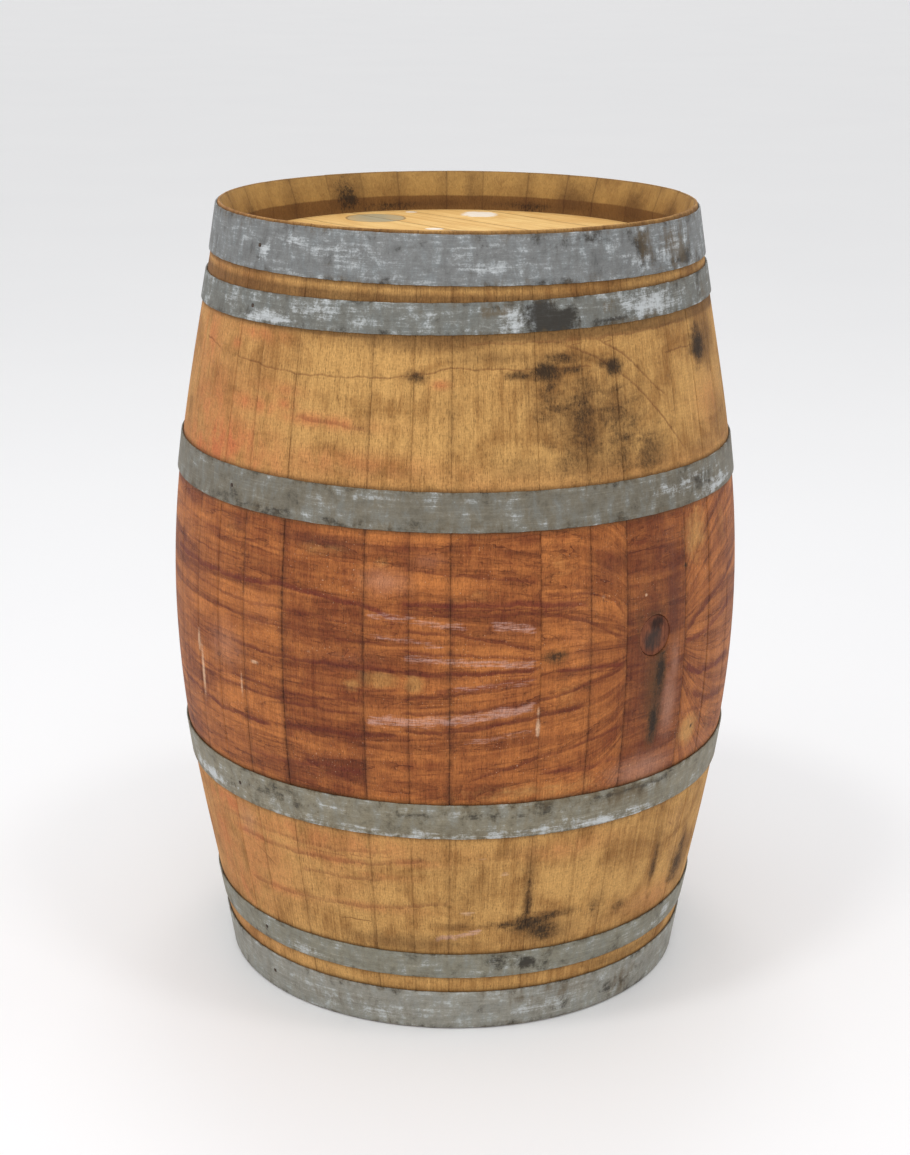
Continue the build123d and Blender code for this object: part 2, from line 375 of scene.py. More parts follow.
def stave_grid(start, arcs, heights, hole_radius):
    """Azimuths and heights of a grid, and the square ring round the bung that each point is on."""
    azimuth, height = np.meshgrid(start + arcs / ARC_PER_DEGREE, heights)
    column = np.abs(arcs - (BUNG_AZIMUTH - start) * ARC_PER_DEGREE)
    row = np.abs(heights - BUNG_HEIGHT)
    ring = np.maximum(column[None, :], row[:, None])
    if hole_radius:
        azimuth, height = warp_patch(azimuth, height, ring, hole_radius)
    return azimuth, height, ring


def add_side(skin, azimuth, height, depth, short, ring, has_hole):
    """Add the outside or inside of a stave that is short at both ends, and return its points' numbers."""
    place = np.stack([azimuth, height, depth], -1)
    lift = height + short * (ramp(height, END_WEAR, 0) - ramp(height, LENGTH - END_WEAR, LENGTH))
    grid = skin.add(ring_point(shell_radius(height) - depth, azimuth, lift), place)
    cells = np.minimum.reduce([ring[:-1, :-1], ring[1:, 1:], ring[:-1, 1:], ring[1:, :-1]])
    skin.quads(grid, cells >= PATCH_RING - RING_MARGIN if has_hole else None)
    return grid


def make_stave(node, index, material):
    """One stave with worn edges, its croze and chime, and its paint."""
    start, end = stave_span(node)
    has_hole = node == "bung_stave"
    draw = np.random.default_rng(STAVE_SEED + index)
    sunk, tilt, tone = draw.uniform(*SUNK), draw.uniform(*TILT), draw.uniform(-1, 1)
    short = draw.uniform(*SHORT) if index % FULL_LENGTH_EVERY else 0.0
    skin = Skin()

    # Outside.
    arcs = stave_columns(start, end, has_hole)
    heights = stave_rows(has_hole)
    azimuth, height, ring = stave_grid(start, arcs, heights, has_hole and LIP_RADIUS)
    edge = np.minimum(arcs, arcs[-1] - arcs)
    depth = np.interp(edge, EDGE_DISTANCES, EDGE_DEPTHS, right=0.0)[None, :]
    depth = depth * (1 + 0.5 * wander(height, WORN_WAVE, WORN_SEED + index))
    rim = np.minimum(height, LENGTH - height)
    depth = depth + np.interp(rim, RIM_DISTANCES, RIM_DEPTHS, right=0.0)
    across = (azimuth - start) / (end - start) - 0.5
    swell = SURFACE_SWELL * (1 + wander(height, SURFACE_WAVE, SURFACE_SEED + index))
    depth = depth + sunk + tilt * across + swell
    outer = add_side(skin, azimuth, height, np.maximum(depth, 0), short, ring, has_hole)

    # Inside.
    if has_hole:
        inner_arcs = arcs
        block = heights[(heights > BLOCK_END) & (heights < LENGTH - BLOCK_END)]
    else:
        plain = steps(INNER_MARGIN, arcs[-1] - INNER_MARGIN, INNER_COLUMN_STEP)
        inner_arcs = np.concatenate([[0.0, INNER_EDGE], plain, arcs[-1] - np.array([INNER_EDGE, 0.0])])
        block = steps(BLOCK_END, LENGTH - BLOCK_END, INNER_ROW_STEP)
    end_heights, end_depths = np.array(end_profile()).T
    inner_heights = np.concatenate([end_heights, block, LENGTH - end_heights[::-1]])
    inner_depths = np.concatenate([end_depths, np.full(len(block), STAVE_THICKNESS), end_depths[::-1]])
    azimuth, height, inner_ring = stave_grid(start, inner_arcs, inner_heights, has_hole and HOLE_INNER_RADIUS)
    depth = np.repeat(inner_depths[:, None], len(inner_arcs), 1)
    inner = add_side(skin, azimuth, height, depth, short, inner_ring, has_hole)
    if has_hole:
        join_hole(skin, outer, ring, inner, inner_ring)

    # Seam faces and the two ends.
    for column in (0, -1):
        skin.zip(outer[:, column], inner[:, column], heights, inner_heights)
    for row in (0, -1):
        skin.zip(outer[row], inner[row], arcs, inner_arcs)

    attributes = paint(np.concatenate(skin.places), start, end, tone, index)
    return skin.build(node + "_looks", material, attributes)


def warp_patch(azimuth, height, ring, lip):
    """Bend the square rings of grid around the bung hole into circles."""
    radius = shell_radius(height)
    u = radius * np.sin(np.radians(azimuth - BUNG_AZIMUTH))
    v = height - BUNG_HEIGHT
    far = np.maximum(np.hypot(u, v), 1e-6)
    reach = np.clip((PATCH_HALF - ring) / (PATCH_HALF - PATCH_RING), 0, 1)
    target = lip + (PATCH_HALF - lip) * (1 - reach)
    factor = 1 + reach * (target / far - 1)
    turned = BUNG_AZIMUTH + np.degrees(np.arcsin(np.clip(u * factor / radius, -1, 1)))
    return np.where(reach > 0, turned, azimuth), BUNG_HEIGHT + v * factor


def ring_loop(grid, ring):
    """Numbers of the points on the innermost kept ring, in order round it."""
    rows, columns = np.nonzero(np.abs(ring - PATCH_RING) < RING_MARGIN)
    middle_row, middle_column = rows.mean(), columns.mean()
    order = np.argsort(np.arctan2(rows - middle_row, columns - middle_column))
    return grid[rows[order], columns[order]]


def join_hole(skin, outer, outer_ring, inner, inner_ring):
    """Tapered wall of the bung hole with a worn lip."""
    first, last = ring_loop(outer, outer_ring), ring_loop(inner, inner_ring)
    azimuth, height, _ = np.concatenate(skin.places)[first].T
    u = shell_radius(height) * np.sin(np.radians(azimuth - BUNG_AZIMUTH))
    v = height - BUNG_HEIGHT
    far = np.hypot(u, v)
    loops = [first]
    for radius, depth in HOLE_RINGS:
        height = BUNG_HEIGHT + v * radius / far
        shell = shell_radius(height)
        azimuth = BUNG_AZIMUTH + np.degrees(np.arcsin(u * radius / far / shell))
        place = np.stack([azimuth, height, np.full_like(height, depth)], -1)
        loops.append(skin.add(ring_point(shell - depth, azimuth, height), place))
    loops.append(last)
    closed = np.array([np.append(loop, loop[0]) for loop in loops])
    skin.quads(closed)


# ---------------------------------------------------------------- paint marks

# Streaks: ink, half width, redness, then points as (azimuth, height).
STREAKS = [
    # Left of the leak at azimuth 17.
    (0.45, 0.9, 0.5, [(-76, 599), (-44, 597), (-34, 594), (-17, 594)]),
    (0.65, 0.9, 0.4, [(-76, 571), (-44, 572)]),
    (0.35, 0.8, 0.4, [(-76, 563), (-60, 562)]),
    (0.95, 2.4, 0.8, [(-74, 549), (-44, 551), (-34, 557), (-17, 547), (-10, 534)]),
    (0.60, 1.5, 0.5, [(-71, 535), (-44, 525), (-34, 529), (-17, 524), (-10, 524)]),
    (0.60, 1.2, 0.4, [(-76, 507), (-50, 509), (-34, 507), (-17, 505), (-10, 503)]),
    (0.90, 1.9, 0.5, [(-48, 475), (-44, 473), (-34, 472), (-17, 475), (-10, 473)]),
    (0.40, 2.4, 0.6, [(-71, 466), (-60, 466), (-52, 460)]),
    (0.60, 1.4, 0.4, [(-34, 450), (-17, 448), (-10, 451)]),
    (0.65, 1.4, 0.5, [(-71, 429), (-52, 428), (-44, 433), (-34, 428), (-25, 431), (-17, 436)]),
    (0.70, 1.4, 0.5, [(-71, 418), (-44, 420), (-34, 418), (-17, 418)]),
    (0.95, 2.0, 0.6, [(-76, 388), (-60, 388), (-52, 382), (-44, 384), (-37, 382)]),
    (0.90, 2.2, 0.4, [(-34, 391), (-17, 393), (-10, 399)]),
    (0.70, 2.8, 0.7, [(-44, 344), (-34, 342), (-25, 350), (-17, 345)]),
    (0.50, 1.2, 0.5, [(-34, 338), (-17, 338)]),
    # From the leak to the left.
    (0.75, 1.6, 0.5, [(-10, 520), (-1, 519), (6, 512), (15.4, 497)]),
    (0.70, 1.5, 0.6, [(-10, 497), (6, 493), (15.4, 487)]),
    (0.95, 2.0, 0.6, [(-10, 472), (-1, 472), (15.4, 475)]),
    (0.70, 1.8, 1.0, [(-4, 451), (6, 458), (15.4, 466)]),
    (0.75, 1.6, 0.4, [(-10, 440), (-1, 448), (15.6, 458)]),
    (0.80, 1.7, 0.4, [(-10, 424), (-1, 426), (15.6, 436), (25.5, 450), (33.8, 463)]),
    (0.95, 2.2, 0.4, [(-10, 403), (-1, 403), (15.6, 419), (25.6, 426)]),
    (0.70, 1.8, 0.5, [(3.6, 345), (15.7, 367), (25.5, 379), (33.8, 392)]),
    (0.65, 1.4, 0.5, [(-10, 591), (-1, 586), (8, 581), (15.7, 574)]),
    (0.85, 2.4, 0.9, [(-10, 552), (11.8, 552), (25.5, 544)]),
    (0.75, 1.6, 0.4, [(-10, 540), (15.7, 540), (25.6, 524), (33.8, 493)]),
    (0.60, 1.6, 0.4, [(16, 560), (25.6, 556), (31, 545), (33.8, 520)]),
    (0.60, 2.8, 0.8, [(16, 350), (25.6, 346), (33, 352)]),
    (0.90, 2.0, 0.6, [(18.9, 472), (33.7, 467)]),
    # Right of the bung.
    (1.00, 3.4, 0.4, [(49.7, 483), (54, 497), (60, 512), (78, 540)]),
    (0.75, 2.6, 1.0, [(49.7, 470), (54.7, 470), (60, 475), (72, 486)]),
    (0.95, 3.2, 0.8, [(50.3, 440), (54.7, 426), (60, 420), (74, 418)]),
    (0.80, 3.0, 0.5, [(53.6, 403), (60, 382), (70, 372)]),
    (0.45, 2.0, 0.7, [(49.7, 382), (60, 372)]),
    # Upper plain part: a cut line, a dark arc and pencil marks.
    (0.60, 0.8, 0.1, [(-53, 797), (-44, 793), (-34, 790), (-17, 794), (-10, 797), (-1, 807), (12, 805),
                      (29, 803)]),
    (0.60, 0.8, 0.1, [(48, 806), (71, 806)]),
    (0.60, 0.9, 0.1, [(-68.5, 806), (-58.7, 798)]),
    (0.65, 1.0, 0.2, [(22, 829), (30, 812), (39, 777), (47.8, 725), (52.2, 694)]),
    (0.60, 1.0, 0.2, [(28, 836), (36, 815), (42, 784), (47.8, 758)]),
    (0.45, 1.8, 0.9, [(-33, 745), (-24, 742), (-17, 738)]),
    (0.50, 1.2, 0.6, [(2, 833), (20, 833), (40, 834), (58, 836)]),
    # Lower plain part.
    (0.50, 2.2, 0.9, [(-52, 223), (-34, 222), (-17, 227), (-5, 239)]),
    (0.42, 1.8, 0.9, [(-34, 201), (-17, 204), (-14, 210)]),
    (0.42, 2.0, 0.8, [(-51, 158), (-34, 162), (-17, 167), (0, 181)]),
    (0.34, 1.8, 0.9, [(-60, 236), (-44, 240), (-25, 238), (-12, 246)]),
    (0.70, 0.7, 0.0, [(-25.7, 145), (-17, 145)]),
    (0.60, 0.8, 0.0, [(-47, 210), (-41, 191)]),
    (0.70, 0.9, 0.0, [(52, 232), (55, 223)]),
]

# Dried residue: amount, half width, points.
RESIDUES = [
    (0.9, 5.0, [(-17, 537), (-10, 534), (2.8, 525)]),
    (1.0, 6.0, [(6, 530), (15.7, 519)]),
    (0.8, 4.0, [(-17, 514), (-10, 510), (-1, 503)]),
    (1.0, 5.0, [(-10, 490), (15.7, 480)]),
    (0.8, 4.0, [(-1, 453), (15.7, 461)]),
    (1.1, 7.0, [(-17, 412), (-10, 413), (-1, 416), (15.7, 431)]),
    (0.8, 4.0, [(1, 389), (15.5, 401)]),
    (1.2, 4.4, [(-4.6, 127), (7, 140)]),
    (0.8, 4.0, [(9, 214), (12, 221)]),
    (0.8, 3.0, [(2, 163), (5, 166)]),
]

# Blots by kind: azimuth, height, half width, half height, amount.
BLOTS = {
    # Black mould and soot.
    "mould": [
        (17.8, 800, 22, 11, 1.3), (22, 815, 26, 8, 0.95), (33.4, 799, 14, 11, 1.15), (13, 798, 26, 5, 0.9),
        (23.5, 801, 22, 5, 0.85), (19, 785, 12, 20, 0.7), (31, 804, 12, 7, 0.8), (29, 812, 22, 5, 0.6),
        (26, 742, 54, 62, 0.72), (34, 735, 50, 60, 0.68), (41, 705, 32, 34, 0.66), (19, 762, 28, 34, 0.66),
        (22, 700, 46, 22, 0.5), (62.5, 803, 24, 22, 1.2), (17, 145, 30, 12, 1.2), (20, 132, 24, 18, 1.0),
        (12, 146, 34, 6, 0.9), (16, 172, 7, 40, 0.85), (22, 152, 34, 7, 0.9), (61.5, 152, 22, 26, 1.0),
        (63, 172, 14, 30, 0.9), (50, 178, 8, 30, 0.8), (33, 152, 12, 22, 0.6), (40, 138, 22, 12, 0.5),
        (42.8, 440, 9, 34, 1.15), (41.6, 386, 9, 30, 1.15), (42.2, 415, 13, 50, 0.75), (38, 545, 4, 4, 0.7),
        (40, 515, 26, 8, 0.5), (18.8, 487, 13, 10, 0.9), (50, 562, 3, 3, 1.3), (55.2, 355, 3, 3, 1.3),
        (-8, 797, 14, 7, 0.87), (212, 925, 16, 22, 1.5), (160, 905, 70, 6, 1.1), (200, 905, 60, 6, 1.16),
        (178, 936, 9, 12, 0.7), (146, 930, 20, 8, 0.7), (252, 912, 24, 8, 0.8),
    ],
    # Brown dirt.
    "grime": [
        (40.5, 430, 20, 70, 0.8), (37.2, 500, 7, 40, 0.6), (44, 520, 26, 16, 0.5), (212, 925, 34, 26, 1.2),
        (176, 930, 16, 26, 1.0), (146, 922, 36, 22, 1.1), (124, 918, 34, 24, 1.1), (105, 922, 30, 20, 0.9),
        (190, 908, 80, 10, 0.9), (232, 925, 26, 20, 0.7), (252, 920, 24, 20, 0.8), (160, 908, 90, 10, 0.9),
        (-6, 832, 130, 12, 0.9), (8, 818, 75, 12, 0.75), (27, 752, 70, 60, 0.65), (27, 700, 60, 24, 0.7),
        (43, 700, 30, 26, 0.7), (68, 805, 40, 34, 1.0), (70, 715, 50, 40, 0.7), (52, 830, 60, 10, 0.4),
        (2, 686, 60, 12, 0.4), (22, 128, 60, 24, 0.75), (40, 128, 70, 20, 0.45), (66, 150, 40, 40, 0.8),
        (-10, 120, 100, 15, 0.9), (4, 200, 36, 50, 0.5), (-5, 235, 22, 30, 0.5), (16, 215, 12, 70, 0.7),
        (12, 245, 60, 10, 0.5), (-15, 694, 120, 9, 0.5), (20, 835, 40, 10, 0.7), (-2, 760, 60, 44, 0.35),
        (12, 700, 50, 20, 0.6), (1, 146, 30, 7, 0.8), (14, 780, 26, 60, 0.4), (40, 884, 170, 10, 0.7),
        (66, 884, 60, 10, 0.8), (45, 62, 110, 10, 0.8), (50, 200, 14, 44, 0.6), (-35, 822, 30, 12, 0.4),
        (60, 690, 60, 14, 0.6), (57, 215, 8, 40, 0.6),
    ],
    # Pale haze of dust and tartar.
    "haze": [
        (56, 230, 40, 24, 0.4), (60, 180, 34, 30, 0.35), (40, 326, 56, 20, 1.1), (45.8, 400, 16, 44, 1.1),
        (47, 450, 10, 30, 0.9), (60, 325, 60, 14, 0.6), (-50, 463, 40, 32, 0.7), (-13, 575, 34, 16, 0.8),
        (-5, 600, 26, 12, 0.5), (52, 130, 56, 20, 0.4), (-48.5, 240, 22, 26, 0.7), (24, 500, 32, 90, 0.3),
        (45, 600, 24, 40, 0.3), (0, 303, 330, 5, 0.8), (30, 307, 120, 7, 0.7), (-30, 642, 260, 4, 0.7),
        (-20, 480, 60, 20, 0.3), (-40, 520, 50, 26, 0.35),
    ],
    # Pink and orange tints in the plain parts.
    "blush": [
        (-45, 748, 52, 9, 0.9), (-38, 770, 34, 7, 0.8), (-27, 742, 62, 7, 1.1), (-22, 702, 90, 12, 0.7),
        (-52, 705, 80, 22, 1.0), (-60, 735, 44, 34, 0.7), (-3, 789, 9, 4, 1.4), (-36, 755, 14, 7, 1.2),
        (-53, 810, 9, 6, 1.1), (-45, 826, 40, 7, 0.9), (-66, 800, 30, 40, 0.6), (66, 735, 40, 24, 0.6),
        (-48, 222, 44, 8, 0.9), (-28, 224, 66, 7, 0.9), (-8, 233, 44, 6, 0.7), (-44, 160, 66, 9, 0.7),
        (-18, 166, 60, 6, 0.6), (-55, 250, 60, 14, 0.9), (-62, 180, 40, 60, 0.6), (-30, 248, 150, 16, 0.8),
        (-45, 196, 70, 40, 0.5), (-26, 205, 60, 24, 0.4), (-54, 140, 40, 30, 0.6), (24, 244, 60, 12, 0.6),
        (52, 128, 60, 18, 0.6), (-15, 210, 40, 5, 0.7),
    ],
    # Wine soaked wood.
    "soak": [
        (42.3, 415, 12, 66, 1.3), (41, 505, 22, 26, 1.0), (46, 520, 18, 70, 1.1),
        (41.5, 480, 62, 130, 0.85), (42, 575, 46, 70, 0.6), (30, 580, 26, 26, 0.7), (42, 345, 50, 45, 0.45),
        (-25, 345, 70, 22, 0.5), (-40, 335, 110, 30, 0.45), (-25, 613, 62, 9, 0.8), (-47, 613, 26, 9, 0.6),
        (21, 545, 30, 6, 0.8), (9, 520, 40, 16, 0.5), (-10, 610, 60, 10, 0.4), (62, 470, 60, 90, 0.35),
        (48, 500, 12, 110, 0.5), (-60, 560, 90, 50, 0.3), (-30, 500, 120, 60, 0.3),
        (-10, 420, 100, 30, 0.3), (66, 400, 40, 60, 0.4),
    ],
    # Clean, unstained wood.
    "bare": [
        (-7.3, 460, 11, 11, 1.2), (-13.4, 462, 22, 10, 1.1), (-19, 452, 13, 8, 0.8),
        (54.2, 594, 28, 34, 0.85), (54, 352, 24, 20, 1.0), (16, 325, 105, 13, 0.65), (20, 592, 28, 28, 0.4),
        (-25, 604, 48, 10, 0.45), (-47, 604, 20, 11, 0.4), (-13, 596, 18, 9, 0.45), (66, 590, 18, 34, 0.5),
        (22, 440, 26, 26, 0.4), (53.5, 200, 26, 36, 0.8), (63, 345, 16, 30, 0.4), (5, 560, 40, 9, 0.4),
    ],
    # Pale scrapes and droplets.
    "scuff": [
        (-60.3, 450, 4, 16, 1.1), (-59, 415, 4, 40, 1.0), (-45, 421, 3, 20, 0.8),
        (15.75, 404, 2.5, 11, 1.3), (15.75, 424, 2.5, 8, 0.8), (3, 165, 12, 3, 0.9), (6, 240, 8, 2.5, 0.7),
        (10.6, 217, 8, 3, 0.8), (-41, 455, 8, 3, 0.9), (-28, 483, 3, 6, 0.6), (38.5, 541, 2, 2, 1.2),
        (28.5, 549, 5, 4, 0.6),
    ],
}

# Seams in view: how much wine they drew in, and the tone of the stave that starts there.
SEAMS = {
    -60.2: (0.45, 0.2), -52.0: (0.45, 0.6), -44.0: (0.7, 0.3), -34.0: (1.0, -0.9), -16.9: (0.95, 0.0),
    -8.4: (0.55, 0.3), -0.8: (0.9, -0.1), 16.0: (0.5, 0.7), 26.0: (0.7, 0.5), 34.0: (0.8, -0.7),
    50.0: (0.6, 0.5), 59.0: (0.6, 0.3), 69.7: (0.5, 0.0),
}
SEAM_TOLERANCE = 0.5
BUNG_SEAMS = (34.0, 50.0)
LEAK_AZIMUTH = 16.0
LEAK_HEIGHT = 485.0

# Depth that parts the outside of a stave from its inside, and how far wine fades out past the hoops.
SIDE_DEPTH = 4
WINE_FADE = 12

# Dirty strip of wood between the two top hoops.
STRIP_LOW = 876
STRIP_HIGH = 893

# Zones of plain wood above and below the wine, as pairs of heights.
PLAIN_ZONES = ((115, 262), (684, 836))
BACK_STREAK_COUNT = 58

# Streaks: how far their paint reaches, the half width that also soaks the wood, and no streak at all.
LINE_REACH = 5.0
SOAKING_WIDTH = 1.3
FAR_AWAY = 99.0
BLOT_FALL = 0.8
BACK_SEED = 19
LINE_SEED = 900
FADE_SEED = 300
RESIDUE_SEED = 700


def back_marks(draw):
    """Seeded streaks and blots for the side that the listed ones don't reach."""
    streaks, blots = [], {kind: [] for kind in BLOTS}

    def add_blot(kind, azimuths, heights, half_widths, half_heights, amounts, size=1.0):
        at, level = draw.uniform(*azimuths), draw.uniform(*heights)
        half_width, half_height = size * draw.uniform(*half_widths), size * draw.uniform(*half_heights)
        blots[kind].append((at, level, half_width, half_height, draw.uniform(*amounts)))

    for _ in range(BACK_STREAK_COUNT):
        start, length = draw.uniform(74, 262), draw.uniform(9, 52)
        height, rise = draw.uniform(318, 626), draw.normal(0, 8)
        middle = (start + length / 2, height + rise / 2 + draw.normal(0, 3))
        points = [(start, height), middle, (start + length, height + rise)]
        streaks.append((draw.uniform(0.35, 0.95), draw.uniform(0.8, 2.6), draw.uniform(0.2, 0.9), points))
    for low, high in PLAIN_ZONES:
        for _ in range(7):
            ink, half_width, redness = draw.uniform(0.25, 0.5), draw.uniform(0.7, 1.6), draw.uniform(0.2, 0.9)
            start, height = draw.uniform(80, 262), draw.uniform(low, high)
            points = [(start, height), (start + draw.uniform(8, 28), height + draw.normal(0, 7))]
            streaks.append((ink, half_width, redness, points))
        for kind in ("grime", "blush"):
            for _ in range(9):
                add_blot(kind, (80, 272), (low, high), (20, 90), (7, 34), (0.4, 0.9))
        for _ in range(5):
            add_blot("mould", (84, 270), (low + 18, high - 18), (12, 34), (9, 26), (0.7, 1.7))
    for kind, number, size in (("soak", 16, 60), ("bare", 12, 28), ("haze", 9, 34), ("scuff", 8, 9)):
        for _ in range(number):
            add_blot(kind, (78, 272), (325, 620), (0.5, 1.3), (0.25, 0.8), (0.4, 1.0), size)
    return streaks, blots


BACK_STREAKS, BACK_BLOTS = back_marks(np.random.default_rng(BACK_SEED))


def add_blots(field, marks, degrees_from, height):
    """Raise each kind of paint where its blots lie.  degrees_from gives the turn from an azimuth."""
    for kind, blots in marks.items():
        for at, level, half_width, half_height, amount in blots:
            turn = degrees_from(at) * ARC_PER_DEGREE
            away = (turn / half_width) ** 2 + ((height - level) / half_height) ** 2
            field[kind] = np.maximum(field[kind], amount * np.exp(-away * BLOT_FALL))


def seam_in_view(azimuth):
    """Stain and tone of the seam in view at an azimuth, or None."""
    nearest = min(SEAMS, key=lambda seam: abs(seam - azimuth))
    return SEAMS[nearest] if abs(nearest - azimuth) < SEAM_TOLERANCE else None


def line_offset(azimuth, height, points, seed):
    """Distance above a drawn line, and how far inside its ends a point is, from 0 to 1."""
    at, level = zip(*points)
    slope = (np.interp(azimuth + 0.5, at, level) - np.interp(azimuth - 0.5, at, level)) / ARC_PER_DEGREE
    drift = 1.4 * wander(azimuth, 9.0, seed)
    offset = (height - np.interp(azimuth, at, level) - drift) / np.sqrt(1 + slope**2)
    ends = ramp(azimuth, at[0] - 0.3, at[0] + 1.5) * ramp(azimuth, at[-1] + 0.3, at[-1] - 1.5)
    return offset, ends


def wine_at(height):
    """How much wine has stained the shell at a height, from 0 to 1."""
    return ramp(height, WINE_LOW - WINE_FADE, WINE_LOW) * ramp(height, WINE_HIGH + WINE_FADE, WINE_HIGH)


def flow_height(azimuth, height):
    """Height that streams of wine keep, which draw together at the leak and at the bung stave."""
    offset = height - LEAK_HEIGHT
    left, middle, right = LEAK_AZIMUTH - azimuth, BUNG_SEAMS[0] - azimuth, azimuth - BUNG_SEAMS[1]
    squeeze = np.where(left > 0, 0.62 * np.exp(-np.clip(left, 0, None) / 11 - np.abs(offset) / 55), 0)
    between = (azimuth > LEAK_AZIMUTH) & (middle > 0)
    squeeze = np.where(between, (0.25 + 0.4 * np.exp(-np.abs(offset) / 60)) * np.exp(-middle / 7), squeeze)
    squeeze = np.where(right > 0, 0.65 * np.exp(-np.clip(right, 0, None) / 12), squeeze)
    return LEAK_HEIGHT + offset / (1 - squeeze)


def paint(places, start, end, tone, index):
    """Point attributes that tell the oak material what lies where."""
    azimuth, height, depth = places.T
    outside = (depth < SIDE_DEPTH).astype(float)
    size = len(azimuth)
    in_view = seam_in_view(start)
    tone = in_view[1] if in_view else tone
    field = {kind: np.zeros(size) for kind in BLOTS}
    for marks in (BLOTS, BACK_BLOTS):
        add_blots(field, marks, lambda at: azimuth - at, height)

    offset, ink, redness = np.full(size, FAR_AWAY), np.zeros(size), np.zeros(size)
    for number, (strength, half_width, red, points) in enumerate(STREAKS + BACK_STREAKS):
        away, ends = line_offset(azimuth, height, points, LINE_SEED + number)
        scaled = away / half_width
        closer = (np.abs(scaled) < np.abs(offset)) & (ends > 0) & (np.abs(away) < LINE_REACH + half_width)
        fade = 0.8 + 0.2 * wander(azimuth, 14.0, FADE_SEED + number)
        offset[closer] = scaled[closer]
        ink[closer] = (strength * ends * fade)[closer]
        redness[closer] = red
        if half_width > SOAKING_WIDTH:
            below = np.where(away < 0, np.exp(away / 9), np.exp(-away / 2))
            field["soak"] = np.maximum(field["soak"], 0.55 * strength * ends * below * (wine_at(height) > 0))

    residue = np.zeros(size)
    for number, (amount, half_width, points) in enumerate(RESIDUES):
        away, ends = line_offset(azimuth, height, points, RESIDUE_SEED + number)
        residue = np.maximum(residue, amount * ends * np.clip(1.5 - np.abs(away) / half_width, 0, 1))

    seam = np.zeros(size)
    for side in (start, end):
        in_view = seam_in_view(side)
        strength = in_view[0] if in_view else 0.25 + 0.5 * abs(sin(17.0 * side))
        away = np.abs(azimuth - side) * ARC_PER_DEGREE
        spread = 1.6 + 1.3 * strength * (1 + wander(height, 120, int(side * 10) % 997))
        seam = np.maximum(seam, strength * np.exp(-away / spread))

    wine = wine_at(height)
    rim_distance = np.minimum(height, LENGTH - height)
    left = ramp(azimuth, -22, -66) + 0.5 * ramp(azimuth, 190, 262)
    hoop_haze = ramp(height, 712, 678) * ramp(height, 640, 670)
    orange = 0.3 * left + 0.55 * hoop_haze * (0.4 + 0.6 * left) + 0.8 * field["blush"]
    orange = np.clip(orange, 0, 1.2) * (1 - wine)
    # Grime along the hoop edges, fading over about 5 mm, which also stands for painted shade beside and under
    # the hoops.
    grime = np.zeros(size)
    for low, high in HOOP_EDGES.values():
        outside_edge = np.maximum(low - height, height - high)
        grime = np.maximum(grime, np.exp(-np.clip(outside_edge, 0, 60) / 5.0))
    strip = (height > STRIP_LOW) & (height < STRIP_HIGH)
    grime = np.maximum.reduce([grime, field["grime"], 0.35 * strip])

    chime = (depth > SIDE_DEPTH) & (rim_distance < CROZE_TOP - 1)
    grime = outside * grime + chime * field["grime"]
    spot = np.stack([outside * field["soak"], field["mould"], outside * field["bare"]], -1)
    film = np.stack([outside * residue, outside * field["haze"], outside * field["scuff"]], -1)
    return {
        "place": places,
        "trait": np.stack([np.full(size, tone), seam, np.full(size, index * 7.31)], -1),
        "zone": np.stack([outside * wine, outside * orange, grime], -1),
        "spot": spot,
        "film": film,
        "line": np.stack([offset, outside * ink, redness], -1),
        "flow": np.stack([flow_height(azimuth, height), height, depth], -1),
    }


# ---------------------------------------------------------------- node trees


class Value:
    """A socket of a node tree that takes part in ordinary sums."""

    def __init__(self, paint_box, socket):
        self.paint_box = paint_box
        self.socket = socket

    def math(self, operation, *others):
        inputs = dict(enumerate((self,) + others))
        return self.paint_box.node("Math", inputs, operation=operation)

    def __add__(self, other):
        return self.math("ADD", other)

    def __sub__(self, other):
        return self.math("SUBTRACT", other)

    def __rsub__(self, other):
        return self.math("MULTIPLY", -1.0) + other

    def __mul__(self, other):
        return self.math("MULTIPLY", other)

    def __truediv__(self, other):
        return self.math("DIVIDE", other)

    def __abs__(self):
        return self.math("ABSOLUTE")

    __radd__ = __add__
    __rmul__ = __mul__


